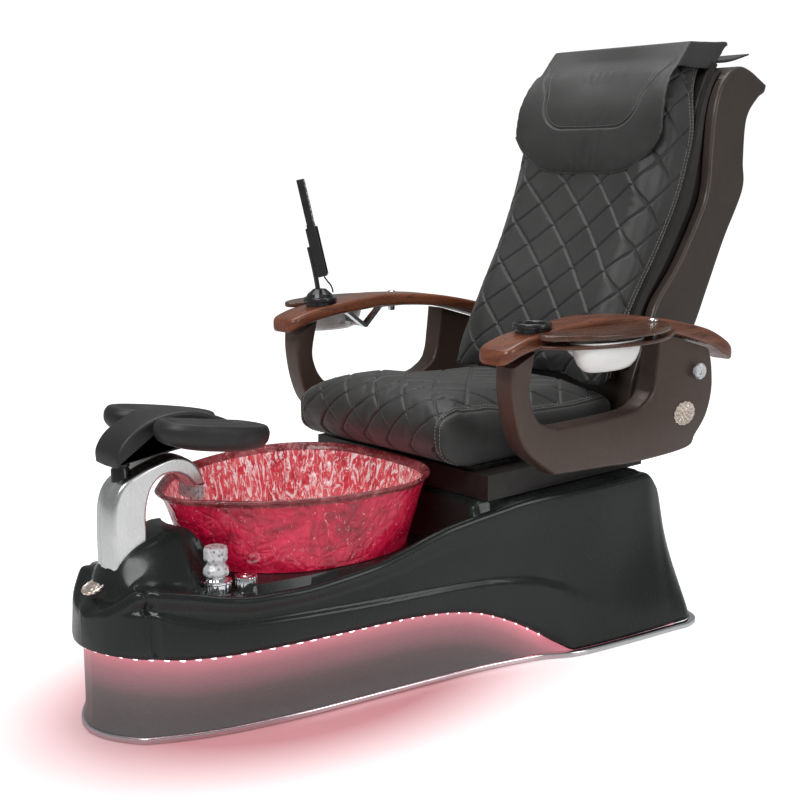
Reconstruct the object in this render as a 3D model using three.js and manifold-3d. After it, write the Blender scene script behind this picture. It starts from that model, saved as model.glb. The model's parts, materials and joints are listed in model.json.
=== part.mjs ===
// Pedicure spa chair: fibreglass foot-bath base with a glass basin, chrome spout and
// footrest, and a sliding, reclining massage seat with wooden arms and swivel trays.
// Millimetres, +Z up. The sitter faces -Y, and +X is the sitter's left.
import * as THREE from 'three';
import { mergeVertices } from 'three/addons/utils/BufferGeometryUtils.js';
import Module from 'manifold-3d';

const wasm = await Module();
wasm.setup();

// ---------- driving dimensions ----------
const ORIGIN_Y = 115;          // footprint centre, behind the seat box front
const GAP = 0.4;               // running gap between touching pieces
const WALL = 8;                // fibreglass thickness
const TRIM_H = 13;             // chrome strip at the floor
const DECK_Z = 283;            // deck under the basin
const TOP_Z = 376;             // base top under the seat box
const RIM_Z = 440;             // basin rim
const GLASS = 8;               // basin wall
const BOX_HALF = 289;          // seat box half-width
const BOX_LENGTH = 520;
const BOX_Z = [377.5, 432];
const SLIDE = 150;             // seat travel
const SEAT_HALF = 252;         // cushion half-width
const BACK_HALF = 245;         // back pad half-width
const SHELL_HALF = 258;        // back shell half-width
const PIVOT = [560, 500];      // recline axis, Y and Z
const ARM_X = [331, 385];      // arm panel faces
const WOOD_X = [308, 395];     // arm top faces
const WOOD_T = 30;             // arm top thickness
const CUP = { x: 351, y: 60, outer: 40, inner: 32, flange: 747, top: 758 };
const LEAF_Z = { plate: [712, 720], lid: [730, 742] };
const LEAF_PIN = [428, 361];   // tray pivot, X and Y
const POST = [0, -700];        // footrest post, X and Y
const TILT_Z = 536;            // footrest tilt axis height
const KNOB = [123, -572];      // valve knob, X and Y
const BUTTON = [141, -516];    // jet button, X and Y
const DRAIN = [0, -290];       // drain centre, X and Y
const REMOTE_LEAN = 12.6;      // degrees from upright

// ---------- materials ----------
function finish(color, roughness, metalness = 0) {
  return new THREE.MeshStandardMaterial({ color, roughness, metalness });
}
const fibreglass = finish(0x2e3232, 0.25);
const chrome = finish(0xc8ccd0, 0.15, 1);
const satin = finish(0xb4b6b8, 0.35, 1);
const steel = finish(0x5c6064, 0.5, 1);
const glass = finish(0xb81238, 0.1);
const crystal = finish(0xdfe6ea, 0.05);
const leather = finish(0x2f2f2e, 0.55);
const rubber = finish(0x232323, 0.6);
const blackPlastic = finish(0x1c1c1e, 0.4);
const paintedPanel = finish(0x4c3a33, 0.5);
const backPlastic = finish(0x3c3532, 0.5);
const cherry = finish(0x7c3a26, 0.3);
const walnut = finish(0x5f3c2a, 0.3);
const ceramic = finish(0xf2efe8, 0.3);
const greyPanel = finish(0x6c6a6a, 0.5);
const ledStrip = finish(0xff6078, 0.4);
const champagne = finish(0xc9b8a6, 0.35, 1);
const whitePlastic = finish(0xd8d8d4, 0.5);

// ---------- solid helpers ----------
function toSolid(geometry) {
  const bare = geometry.clone();
  bare.deleteAttribute('normal');
  bare.deleteAttribute('uv');
  const merged = mergeVertices(bare, 1e-3);
  const vertProperties = new Float32Array(merged.attributes.position.array);
  const triVerts = new Uint32Array(merged.index.array);
  return new wasm.Manifold(new wasm.Mesh({ numProp: 3, vertProperties, triVerts }));
}

function toGeometry(solid) {
  const mesh = solid.getMesh();
  const geometry = new THREE.BufferGeometry();
  geometry.setAttribute('position', new THREE.BufferAttribute(mesh.vertProperties, 3));
  geometry.setIndex(new THREE.BufferAttribute(mesh.triVerts, 1));
  return geometry;
}

const combine = (how) => (body, ...tools) =>
  toGeometry(tools.reduce((left, tool) => left[how](toSolid(tool)), toSolid(body)));
const cut = combine('subtract');
const join = combine('add');
const common = combine('intersect');

// A closed body through rings of equal point counts. Its ends are fans or strips, or they are joined.
function loft(rings, ends = 'fan') {
  const count = rings[0].length;
  const points = rings.flat();
  const faces = [];
  const quad = (a, b, c, d) => faces.push(a, b, c, a, c, d);
  const spans = ends === 'joined' ? rings.length : rings.length - 1;
  for (let i = 0; i < spans; i += 1) {
    const next = (i + 1) % rings.length;
    for (let j = 0; j < count; j += 1) {
      const k = (j + 1) % count;
      quad(i * count + j, i * count + k, next * count + k, next * count + j);
    }
  }
  for (const [ring, flip] of ends === 'joined' ? [] : [[0, true], [rings.length - 1, false]]) {
    const first = ring * count;
    if (ends === 'strip') {
      for (let j = 0; j < count / 2 - 1; j += 1) {
        const corners = [first + j, first + j + 1, first + count - 2 - j, first + count - 1 - j];
        quad(...(flip ? corners.reverse() : corners));
      }
    } else {
      points.push(rings[ring].reduce((sum, point) => sum.add(point), new THREE.Vector3()).divideScalar(count));
      for (let j = 0; j < count; j += 1) {
        const [a, b] = [first + j, first + ((j + 1) % count)];
        faces.push(points.length - 1, flip ? b : a, flip ? a : b);
      }
    }
  }
  return facingOut(new THREE.BufferGeometry().setFromPoints(points).setIndex(faces));
}

function signedVolume(geometry) {
  const [p, index] = [geometry.attributes.position, geometry.index.array];
  const corner = (i) => new THREE.Vector3().fromBufferAttribute(p, index[i]);
  let volume = 0;
  for (let i = 0; i < index.length; i += 3) {
    volume += corner(i).dot(corner(i + 1).cross(corner(i + 2))) / 6;
  }
  return volume;
}

function facingOut(geometry) {
  if (signedVolume(geometry) < 0) geometry.index.array.reverse();
  return geometry;
}

function shapeOf(outline, holes = []) {
  const shape = new THREE.Shape(outline.map(([x, y]) => new THREE.Vector2(x, y)));
  shape.holes = holes.map((hole) => new THREE.Path(hole.map(([x, y]) => new THREE.Vector2(x, y))));
  return shape;
}

function extrude(outline, depth, bevel, holes) {
  return new THREE.ExtrudeGeometry(shapeOf(outline, holes), {
    depth: depth - 2 * bevel,
    bevelEnabled: bevel > 0,
    bevelThickness: bevel,
    bevelSize: bevel,
    bevelOffset: -bevel,
    bevelSegments: 1,
  }).translate(0, 0, bevel);
}

// A YZ outline carried along X, and an XY outline carried along Z.
function sideways(outline, [from, to], bevel = 0, holes = []) {
  const turn = new THREE.Matrix4().makeBasis(
    new THREE.Vector3(0, 1, 0), new THREE.Vector3(0, 0, 1), new THREE.Vector3(1, 0, 0));
  return extrude(outline, to - from, bevel, holes).applyMatrix4(turn).translate(from, 0, 0);
}

function upright(outline, [from, to], bevel = 0, holes = []) {
  return extrude(outline, to - from, bevel, holes).translate(0, 0, from);
}

function box([x0, x1], [y0, y1], [z0, z1]) {
  return new THREE.BoxGeometry(x1 - x0, y1 - y0, z1 - z0)
    .translate((x0 + x1) / 2, (y0 + y1) / 2, (z0 + z1) / 2);
}

function rod(radius, [z0, z1], [x, y] = [0, 0], sides = 24) {
  return new THREE.CylinderGeometry(radius, radius, z1 - z0, sides)
    .rotateX(Math.PI / 2).translate(x, y, (z0 + z1) / 2);
}

function crossRod(radius, [x0, x1], [y, z], sides = 24) {
  return new THREE.CylinderGeometry(radius, radius, x1 - x0, sides)
    .rotateZ(Math.PI / 2).translate((x0 + x1) / 2, y, z);
}

function turned(profile, [x, y, z], sides = 28) {
  const points = profile.map(([r, h]) => new THREE.Vector2(r, h));
  return facingOut(indexed(new THREE.LatheGeometry(points, sides))).rotateX(Math.PI / 2).translate(x, y, z);
}

function indexed(geometry) {
  geometry.deleteAttribute('normal');
  geometry.deleteAttribute('uv');
  return mergeVertices(geometry, 1e-3);
}

function pipe(points, radius, steps, sides = 10) {
  const path = new THREE.CatmullRomCurve3(points.map((point) => new THREE.Vector3(...point)));
  const ring = new THREE.Shape().absarc(0, 0, radius, 0, 2 * Math.PI).getSpacedPoints(sides).slice(0, -1);
  return new THREE.ExtrudeGeometry(new THREE.Shape(ring), { steps, extrudePath: path, bevelEnabled: false });
}

function smooth(points, count) {
  const curve = new THREE.SplineCurve(points.map(([x, y]) => new THREE.Vector2(x, y)));
  return curve.getPoints(count).map(({ x, y }) => [x, y]);
}

// A value that changes along Y, straight between its stations.
function track(stations) {
  return (y) => {
    const after = stations.findIndex(([at]) => at >= y);
    if (after === -1) return stations.at(-1)[1];
    if (after === 0) return stations[0][1];
    const [[y0, v0], [y1, v1]] = [stations[after - 1], stations[after]];
    return THREE.MathUtils.lerp(v0, v1, (y - y0) / (y1 - y0));
  };
}

const mirrored = (half) => [...half, ...half.filter(([x]) => x > 0.01).reverse().map(([x, y]) => [-x, y])];
const parts = [];
function part(name, geometry, material) {
  const mesh = new THREE.Mesh(geometry, material);
  mesh.name = name;
  parts.push(mesh);
  return mesh;
}

// A piece and its mirror image, one on each side of the chair.
function pair(name, geometry, material) {
  part(`${name}_left`, geometry, material);
  part(`${name}_right`, flipX(geometry), material);
}

function flipX(geometry) {
  return facingOut(indexed(geometry.clone().scale(-1, 1, 1)));
}

// ---------- base shell ----------
// The plan of the floor edge from the nose, round the left side, to the tail.
const FLOOR_PLAN = [[0, -784], [62, -767], [112, -733], [150, -662], [184, -570], [213, -444],
  [242, -260], [262, -130], [285, 0], [324, 132], [366, 215], [392, 350], [412, 500], [418, 556],
  [392, 602], [300, 628], [160, 638], [0, 640]];
const lipHalf = track([[-795, 14], [-790, 44], [-780, 72], [-760, 104], [-735, 130], [-712, 143],
  [-655, 167], [-570, 199], [-444, 227], [-260, 256], [-130, 276], [0, 298], [60, 313], [132, 334],
  [215, 366], [350, 392], [500, 412], [556, 418], [590, 400], [612, 350], [628, 280], [640, 150]]);
const edgeHalf = track([[-795, 12], [-780, 62], [-755, 95], [-732, 114], [-708, 127], [-655, 149],
  [-570, 184], [-444, 213], [-260, 240], [-130, 262], [0, 288], [132, 318], [215, 332], [350, 340],
  [469, 340], [520, 330], [560, 320], [600, 300], [628, 240], [640, 140]]);
const lipZ = track([[-795, 178], [-722, 171], [-655, 162], [-580, 160], [-225, 160], [-128, 155],
  [-77, 148], [-26, 137], [23, 119], [71, 96], [120, 67], [174, 32], [212, TRIM_H + GAP],
  [640, TRIM_H + GAP]]);
const edgeZ = track([[-795, 245], [-775, 262], [-755, 280], [-732, 298], [-706, 297], [-655, 288],
  [-580, 272], [-521, 265], [-440, 265], [-352, 272], [-260, 282], [-189, 303], [-140, 319],
  [-91, 333], [-15, 348], [32, 356], [100, 368], [171, 373], [469, 373], [520, 338], [551, 269],
  [603, 134], [640, 30]]);
const centreZ = track([[-795, 250], [-778, 262], [-768, 270], [-758, 300], [-745, 320], [-722, 334],
  [-690, 340], [-660, 343], [-640, 360], [-618, 384], [-604, 384], [-590, 350], [-565, 292],
  [-548, DECK_Z], [-70, DECK_Z], [-55, 292], [-35, 335], [-15, 368], [-2, TOP_Z], [469, TOP_Z],
  [520, 341], [551, 272], [603, 137], [640, 33]]);
const moundHalf = track([[-795, 22], [-755, 88], [-708, 120], [-640, 125], [-590, 120], [-560, 160],
  [-520, 188], [-444, 213], [-260, 240], [-130, 262], [0, 288], [640, 320]]);
const moundFlat = track([[-795, 0.2], [-600, 0.2], [-560, 0.7], [-520, 0.94], [640, 0.96]]);

function deckHeight(x, y) {
  const reach = Math.min(moundHalf(y), edgeHalf(y));
  const fall = THREE.MathUtils.smoothstep(Math.abs(x), moundFlat(y) * reach, reach);
  return THREE.MathUtils.lerp(centreZ(y), edgeZ(y), fall);
}

function baseSection(y, inset, bottom) {
  const across = edgeHalf(y) - 6 - inset;
  const half = [[lipHalf(y) - inset, bottom]];
  half.push([THREE.MathUtils.lerp(lipHalf(y), edgeHalf(y) + 6, 0.5) - inset, (lipZ(y) + edgeZ(y)) / 2]);
  half.push([edgeHalf(y) - inset, edgeZ(y) - 10 - inset]);
  for (const share of [1, 0.88, 0.6, 0.3]) {
    half.push([across * share, deckHeight(across * share, y) - inset]);
  }
  const ring = [...half, [0, centreZ(y) - inset], ...half.map(([x, z]) => [-x, z]).reverse(), [0, bottom]];
  return ring.map(([x, z]) => new THREE.Vector3(x, y, z));
}

const NOSE_Y = -795;
const TAIL_Y = 640;
const STATIONS = [NOSE_Y, -790, -780, -768, -758, -745, -722, -690, -660, -640, -618, -604, -590, -565,
  -548, -520, -444, -350, -260, -189, -130, -75, -55, -35, -15, 0, 71, 120, 174, 212, 350, 469, 520, 551,
  603, TAIL_Y];
const outerShell = loft(STATIONS.map((y) => baseSection(y, 0, lipZ(y))));
const innerStations = [NOSE_Y + WALL, ...STATIONS.slice(3, -1), TAIL_Y - 12];
const innerShell = loft(innerStations.map((y) => baseSection(y, WALL, lipZ(y) - 60)));

const PILLAR_HALF = 35;
const PILLAR_Y = [-738, -666];
const pillarFoot = box([-PILLAR_HALF - GAP, PILLAR_HALF + GAP],
  [PILLAR_Y[0] - GAP, PILLAR_Y[1] + GAP], [290, 420]);
const NOSE_PLATE = { at: [0, -766, 290], tilt: 68, radius: 24 };

function noseDisc(radius, depth) {
  return new THREE.CylinderGeometry(radius, radius, depth, 24)
    .rotateX(THREE.MathUtils.degToRad(90 - NOSE_PLATE.tilt) + Math.PI / 2)
    .translate(...NOSE_PLATE.at);
}

part('base_shell', cut(outerShell, innerShell, pillarFoot,
  rod(28 + GAP, [220, 330], KNOB), rod(23 + GAP, [220, 330], BUTTON), rod(30 + GAP, [250, 300], DRAIN),
  noseDisc(NOSE_PLATE.radius + GAP, 6 + 2 * GAP)), fibreglass);
part('nose_plate', noseDisc(NOSE_PLATE.radius, 6), champagne);

// ---------- skirt, floor trim and light strip ----------
// A wall along the floor plan: outward offsets and heights at each point.
const PLAN_NORMALS = FLOOR_PLAN.map((point, i) => {
  const [before, after] = [FLOOR_PLAN[Math.max(i - 1, 0)], FLOOR_PLAN[Math.min(i + 1, FLOOR_PLAN.length - 1)]];
  const along = new THREE.Vector2(after[0] - before[0], after[1] - before[1]).normalize();
  return i === 0 || i === FLOOR_PLAN.length - 1 ? [0, Math.sign(point[1])] : [along.y, -along.x];
});

function planPoint(i, offset, z) {
  const [x, y] = FLOOR_PLAN[i];
  return new THREE.Vector3(x + PLAN_NORMALS[i][0] * offset, y + PLAN_NORMALS[i][1] * offset, z);
}

function planWall(last, outer, inner, bottom, top, ends) {
  const half = [];
  for (let i = 0; i <= last; i += 1) {
    const y = FLOOR_PLAN[i][1];
    half.push([planPoint(i, outer(y), bottom(y)), planPoint(i, outer(y), top(y)),
      planPoint(i, inner(y), top(y)), planPoint(i, inner(y), bottom(y))]);
  }
  const middle = ends === 'joined' ? half.slice(1, -1) : half.slice(1);
  const other = middle.map((ring) => ring.map(({ x, y, z }) => new THREE.Vector3(-x, y, z)));
  return loft([...other.reverse(), ...half], ends);
}

const SKIRT_END = 10;          // last plan point that the skirt reaches
const skirtOut = track([[-785, -5], [60, -5], [132, -9], [215, -14], [640, -14]]);
part('floor_trim', planWall(FLOOR_PLAN.length - 1, () => 5, () => -11, () => 0, () => TRIM_H, 'joined'), chrome);
part('skirt', planWall(SKIRT_END, skirtOut, (y) => skirtOut(y) - 6,
  () => TRIM_H + GAP, (y) => Math.max(lipZ(y) + 14, 40)), greyPanel);
part('led_strip', planWall(8, () => 0.5, () => -4.5, (y) => lipZ(y) + 1, (y) => lipZ(y) + 9), ledStrip);

// ---------- basin ----------
const RIM_PLAN = [[0, -614], [45, -602], [84, -574], [153, -511], [205, -430], [239, -334], [250, -240],
  [240, -150], [191, -75], [118, -34], [0, -22]];
const BOTTOM_PLAN = [[0, -533], [42, -529], [84, -512], [138, -466], [180, -405], [203, -325], [206, -240],
  [192, -165], [152, -108], [90, -82], [0, -74]];
const BASIN_BOTTOM = DECK_Z + GAP;

function basinRing(share, z, inset) {
  const centre = new THREE.Vector2(...DRAIN);
  const half = RIM_PLAN.map(([x, y], i) => {
    const at = new THREE.Vector2(...BOTTOM_PLAN[i]).lerp(new THREE.Vector2(x, y), share);
    const inward = centre.clone().sub(at).setLength(inset);
    return [x === 0 ? 0 : at.x + inward.x, at.y + inward.y];
  });
  const fine = smooth(half, 13);
  return mirrored(fine).map(([x, y]) => new THREE.Vector3(x, y, z));
}

const BASIN_FLARE = [[0, BASIN_BOTTOM], [0.08, 298], [0.26, 330], [0.46, 365], [0.64, 400], [0.8, 425],
  [1, RIM_Z]];
const basinOutside = BASIN_FLARE.map(([share, z]) => basinRing(share, z, share === 0 ? 10 : 0));
const basinInside = BASIN_FLARE.map(([share, z], i) => {
  const last = i === BASIN_FLARE.length - 1;
  const lift = i === 0 ? GLASS : 3;
  return basinRing(share, last ? z : z + lift, last ? 5 : GLASS + (i === 0 ? 10 : 0));
});
part('basin', cut(loft([...basinOutside, ...basinInside.reverse()]),
  rod(24, [270, 310], DRAIN)), glass);
part('drain_flange', turned([[16, -20], [22, -20], [22, 8.6], [30, 8.6], [30, 11.5], [16, 11.5], [16, -20]],
  [...DRAIN, BASIN_BOTTOM]), chrome);
part('drain_stopper', turned([[0, -12], [6, -12], [6, 12], [22, 12.2], [19, 15], [0, 17]],
  [...DRAIN, BASIN_BOTTOM]), chrome);
part('drain_pipe', pipe([[0, -290, 262], [0, -290, 190], [0, -285, 120], [0, -250, 92], [0, -170, 88],
  [0, -90, 88]], 19, 14), whitePlastic);
part('drain_pump', join(box([-70, 70], [-88, 60], [56, 130]), rod(45, [120, 190], [0, -10], 20)), blackPlastic);

// ---------- chassis inside the base ----------
function chassis() {
  const rails = [-150, 150].map((x) => box([x - 20, x + 20], [-520, 520], [0, 44]));
  const crosses = [-480, 80, 420].map((y) => box([-160, 160], [y - 20, y + 20], [3, 40]));
  const posts = [-150, 150].flatMap((x) => [90, 430].map((y) =>
    box([x - 18, x + 18], [y - 18, y + 18], [36, TOP_Z - WALL - 1])));
  return join(...rails, ...crosses, ...posts);
}
part('chassis', chassis(), steel);
part('power_supply', box([-110, -20], [180, 330], [52, 110]), blackPlastic);

// ---------- spout pillar and water controls ----------
const pillarOutline = [
  [PILLAR_Y[0], 292],
  ...smooth([[PILLAR_Y[0], 390], [-733, 446], [-715, 482], [-680, 501], [-640, 514], [-600, 521],
    [-568, 512], [-545, 488], [-533, 455]], 16),
  ...smooth([[-556, 453], [-572, 474], [-598, 488], [-630, 487], [-654, 466], [PILLAR_Y[1], 425],
    [PILLAR_Y[1], 390]], 10),
  [PILLAR_Y[1], 292],
];
const postBore = rod(18 + GAP, [470, 540], POST);
part('spout_pillar', cut(sideways(pillarOutline, [-PILLAR_HALF, PILLAR_HALF], 6), postBore), satin);
part('valve_collar', turned([[0, -60], [16, -60], [16, -14], [28, -14], [28, 6], [21, 10], [21, 14], [0, 14]],
  [...KNOB, 285], 24), chrome);
part('valve_knob', turned([[0, 14.6], [20, 14.6], [27, 20], [27, 40], [22, 46], [27, 52], [25, 70], [0, 72]],
  [...KNOB, 285], 8), crystal);
part('button_bezel', turned([[14, -16], [23, -16], [23, 8], [14, 8], [14, -16]], [...BUTTON, 285]), chrome);
part('jet_button', turned([[0, -10], [13, -10], [13, 9], [10, 11], [0, 12]], [...BUTTON, 285]), chrome);

// ---------- footrest ----------
part('footrest_post', rod(18, [471, 514], POST), blackPlastic);
const cheeks = [-1, 1].map((side) => box([17 * side - 4, 17 * side + 4], [-714, -686], [520, 546]));
part('footrest_swivel', join(rod(18, [514.5, 524], POST), ...cheeks,
  crossRod(4, [-20, 20], [POST[1], TILT_Z], 16)), blackPlastic);
const saddleOutline = [
  ...smooth([[-714, 529], [-712, 556], [-686, 583], [-634, 604], [-570, 606], [-500, 588], [-440, 560]], 12),
  ...smooth([[-436, 548], [-500, 566], [-570, 577], [-630, 574], [-664, 556], [-692, 530]], 9),
];
const SADDLE_HALF = 46;
const lug = cut(box([-12, 12], [-710, -690], [527, 562]), crossRod(4.6, [-14, 14], [POST[1], TILT_Z], 16));
const saddleSlot = box([-22.5, 22.5], [-722, -678], [510, 556]);
const saddle = cut(sideways(saddleOutline, [-SADDLE_HALF, SADDLE_HALF], 3), saddleSlot);
part('footrest_saddle', join(saddle, lug), rubber);
const lobe = new THREE.SphereGeometry(1, 18, 10).scale(68, 122, 30)
  .rotateX(THREE.MathUtils.degToRad(-9)).translate(94, -552, 574);
const lobeTrim = box([0, SADDLE_HALF + GAP], [-760, -400], [450, 700]);
pair('footrest_pad', cut(lobe, lobeTrim), rubber);

// ---------- seat carriage ----------
const [BOX_LOW, BOX_HIGH] = BOX_Z;
const RAIL_Y = [SLIDE + 16, BOX_LENGTH - 16];
const railBars = [-200, 200].map((x) => box([x - 18, x + 18], RAIL_Y, [TOP_Z + GAP, 392]));
const railTies = [RAIL_Y[0], RAIL_Y[1] - 30].map((y) => box([-210, 210], [y, y + 30], [TOP_Z + GAP, 381]));
part('slide_rails', join(...railBars, ...railTies), steel);
const runnerBars = [-200, 200].map((x) => box([x - 16, x + 16], [40, 380], [392.6, BOX_HIGH - 12.4]));
const runnerTies = [40, 350].map((y) => box([-210, 210], [y, y + 30], [410, BOX_HIGH - 12.4]));
part('slide_runners', join(...runnerBars, ...runnerTies), steel);
part('seat_box', cut(
  box([-BOX_HALF, BOX_HALF], [0, BOX_LENGTH], BOX_Z),
  box([12 - BOX_HALF, BOX_HALF - 12], [12, BOX_LENGTH - 12], [BOX_LOW - 5, BOX_HIGH - 12]),
), paintedPanel);
const armPlate = box([ARM_X[0] - 6 - GAP, ARM_X[0] - GAP], [140, 400], [BOX_HIGH + GAP, 500]);
const outriggers = [150, 350].map((y) => box([3 - ARM_X[0], ARM_X[0] - 3], [y, y + 40], [BOX_HIGH + GAP, 441]));
const seatPan = box([-236, 236], [14, 462], [BOX_HIGH + GAP, 443]);
part('seat_frame', join(seatPan, ...outriggers, armPlate, flipX(armPlate)), steel);
const CUSHION_LOW = 446;
const cushionOutline = [
  ...smooth([[16, CUSHION_LOW], [-46, 456], [-88, 488], [-101, 540], [-84, 579], [-36, 597]], 12),
  ...smooth([[60, 590], [200, 568], [340, 561], [452, 564]], 7),
  [470, 552], [470, CUSHION_LOW],
];

// The cushion is crowned: its top falls away towards the sides.
function cushionSection(share) {
  const crown = 1 - 0.19 * Math.abs(share) ** 4;
  const inset = Math.abs(share) === 1 ? 9 : 0;
  return cushionOutline.map(([y, z]) => new THREE.Vector3(share * SEAT_HALF,
    THREE.MathUtils.clamp(y, inset - 101, 470 - inset), CUSHION_LOW + (z - CUSHION_LOW) * crown - inset * (z > 500)));
}
part('seat_cushion', loft([-1, -0.95, -0.7, -0.35, 0, 0.35, 0.7, 0.95, 1].map(cushionSection)), leather);
part('recline_actuator', join(crossRod(17, [-60, 60], [250, 402], 14),
  box([-22, 22], [232, 345], [388, 416])), blackPlastic);

// ---------- recline hinge ----------
const bracketOutline = [[440, BOX_HIGH + GAP], [512, BOX_HIGH + GAP],
  ...smooth([[560, 470], [588, 488], [588, 514], [560, 530], [530, 516], [470, 470]], 10), [440, 446]];
const bracketPlates = [-1, 1].map((side) => sideways(bracketOutline, [266 * side - 4, 266 * side + 4]));
const bracketTie = box([-266, 266], [474, 500], [BOX_HIGH + GAP, 440]);
part('hinge_bracket', cut(join(...bracketPlates, bracketTie), crossRod(10.6, [-280, 280], PIVOT)), steel);
part('hinge_shaft', crossRod(10, [-276, 276], PIVOT), steel);

// ---------- backrest ----------
const padFront = [[385, 580], [402, 640], [463, 758], [535, 884], [590, 1010], [622, 1116], [645, 1215],
  [690, 1290], [755, 1328]];
const padRear = [[836, 1326], [800, 1275], [772, 1208], [750, 1112], [705, 993], [635, 876], [546, 750],
  [500, 665], [470, 582]];
const HOLLOW = 45;             // how far the pad's middle sits back from its wings
const middleSet = (x) => HOLLOW * (1 - (x / BACK_HALF) ** 2);
const PAD_STEPS = [-1, -0.94, -0.7, -0.35, 0, 0.35, 0.7, 0.94, 1];
const padTaper = (z) => 1 - 0.16 * THREE.MathUtils.smoothstep(z, 1140, 1330);

function padSection(share) {
  const x = share * BACK_HALF;
  const edge = Math.abs(share) === 1 ? 14 : 0;
  const front = smooth(padFront, 16).map(([y, z]) => [y + middleSet(x) + edge, z]);
  const rear = smooth(padRear, 16).map(([y, z]) => [y - edge, z]);
  return [...front, ...rear].map(([y, z]) => new THREE.Vector3(x * padTaper(z), y, z));
}
part('back_pad', loft(PAD_STEPS.map(padSection), 'strip'), leather);

// The pillow hangs over the pad's top edge: height, thickness up its face, then its rear flap.
const PILLOW_HALF = 236;
const PILLOW_FACE = [[1046, 7], [1062, 20], [1116, 27], [1166, 29], [1215, 29], [1265, 26], [1300, 24]];
const PILLOW_FLAP = [[764, 1336, 16], [842, 1346, 12], [908, 1374, 4]];
const pillowTaper = (z) => 1 - 0.2 * THREE.MathUtils.smoothstep(z, 1180, 1345);
const padFace = track(smooth(padFront, 30).map(([y, z]) => [z, y]));

function pillowSection(share) {
  const x = share * PILLOW_HALF;
  const thin = 1 - 0.75 * Math.abs(share) ** 3;
  const face = PILLOW_FACE.map(([low, thick]) => {
    const z = low + 100 * share ** 4 * ((1330 - low) / 290);
    const y = padFace(z) + middleSet((x * pillowTaper(z)) / padTaper(z)) - 6;
    return { rear: [y, z], front: [y - thick * thin, z + 2] };
  });
  const flap = PILLOW_FLAP.map(([y, z, thick]) => ({ rear: [y, z], front: [y - 0.35 * thick, z + thick] }));
  const levels = [...face, ...flap];
  const outline = [...levels.map(({ front }) => front), ...levels.map(({ rear }) => rear).reverse()];
  return outline.map(([y, z]) => new THREE.Vector3(x * pillowTaper(z), y, z));
}
part('head_pillow', loft([-1, -0.85, -0.6, -0.3, 0, 0.3, 0.6, 0.85, 1].map(pillowSection), 'strip'), leather);

const boardLine = padRear.map(([y, z]) => [y + 2, z - 2]).reverse();
const boardOutline = [...smooth(boardLine, 12), ...smooth(boardLine.map(([y, z]) => [y + 11, z - 6]).reverse(), 12)];
part('back_board', sideways(boardOutline, [-228, 228]), backPlastic);

const shellOutline = [
  ...smooth([[520, 575], [578, 700], [606, 757], [680, 836], [752, 940], [788, 1012], [796, 1113],
    [806, 1208], [832, 1290], [872, 1316], [933, 1313], [988, 1292], [1025, 1276]], 22),
  ...smooth([[1018, 1256], [985, 1238], [944, 1188], [938, 1089], [941, 1015], [868, 892], [805, 771],
    [760, 686], [700, 600], [628, 500]], 18),
  ...smooth([[606, 464], [560, 446], [516, 464], [504, 510]], 8),
];
const cavityOutline = [[570, 530], [660, 560], [742, 690], [790, 780], [850, 898], [918, 1016], [917, 1090],
  [922, 1190], [950, 1262], [860, 1290], [760, 1290], [600, 1000], [470, 700]];
part('back_shell', cut(sideways(shellOutline, [-SHELL_HALF, SHELL_HALF], 6),
  sideways(cavityOutline, [-232, 232]), crossRod(10.6, [-300, 300], PIVOT)), backPlastic);

// Steel ladder that carries the roller track, set parallel to the back's middle line.
const TRACK_FROM = new THREE.Vector3(0, 632, 700);
const TRACK_TO = new THREE.Vector3(0, 850, 1180);
const trackAngle = Math.atan2(TRACK_TO.z - TRACK_FROM.z, TRACK_TO.y - TRACK_FROM.y);
const trackLength = TRACK_FROM.distanceTo(TRACK_TO);

function onTrack(geometry, distance) {
  const share = distance / trackLength;
  return geometry.rotateX(trackAngle).translate(0,
    THREE.MathUtils.lerp(TRACK_FROM.y, TRACK_TO.y, share), THREE.MathUtils.lerp(TRACK_FROM.z, TRACK_TO.z, share));
}
const ladderRails = [-190, 190].map((x) => box([x - 12, x + 12], [0, trackLength], [-12, 12]));
const rungs = [0.02, 0.98].map((share) =>
  box([-200, 200], [trackLength * share - 9, trackLength * share + 9], [-11, 11]));
part('back_frame', onTrack(join(...ladderRails, ...rungs), 0), steel);
const CARRIAGE_AT = 110;
const ROLLER_RISE = 18;
const carriageLugs = [-1, 1].map((side) => box([100 * side - 5, 100 * side + 5], [-14, 14], [-6, 30]));
const carriage = cut(
  join(box([-177, 177], [-40, 40], [-24, -5]), box([-60, 60], [-32, 32], [-42, -22]), ...carriageLugs),
  crossRod(7.6, [-120, 120], [0, ROLLER_RISE], 16),
);
part('massage_carriage', onTrack(carriage, CARRIAGE_AT), blackPlastic);
const rollerShaft = crossRod(7, [-110, 110], [0, 0], 12);
const rollers = [-80, 80].map((x) => crossRod(22, [x - 14, x + 14], [0, 0], 20));
part('massage_rollers', onTrack(join(rollerShaft, ...rollers).translate(0, 0, ROLLER_RISE), CARRIAGE_AT), rubber);

// ---------- arms ----------
const woodTop = [[-62, 706], [-48, 716], [0, 731], [61, 741], [100, 746], [176, 752], [244, 756], [417, 744],
  [607, 706], [700, 668], [738, 646]];
const woodLine = smooth(woodTop, 18);
const woodAt = track(woodLine);
const underWood = (y) => woodAt(y) - WOOD_T - 6 * THREE.MathUtils.smoothstep(y, 450, 620);
const woodUnder = woodLine.filter(([y]) => y < 722).map(([y]) => [y, underWood(y)]);
const woodOutline = [...woodLine, [744, 632], ...woodUnder.reverse()];
const cupBore = rod(CUP.inner + GAP + 2, [690, 800], [CUP.x, CUP.y]);
const tipPlan = [[WOOD_X[0], 780], ...smooth([[308, -20], [314, -46], [332, -62], [371, -62],
  [389, -46], [395, -20]], 12), [WOOD_X[1], 780]];
pair('arm_top', cut(common(sideways(woodOutline, WOOD_X), upright(tipPlan, [500, 900])), cupBore), cherry);

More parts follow.
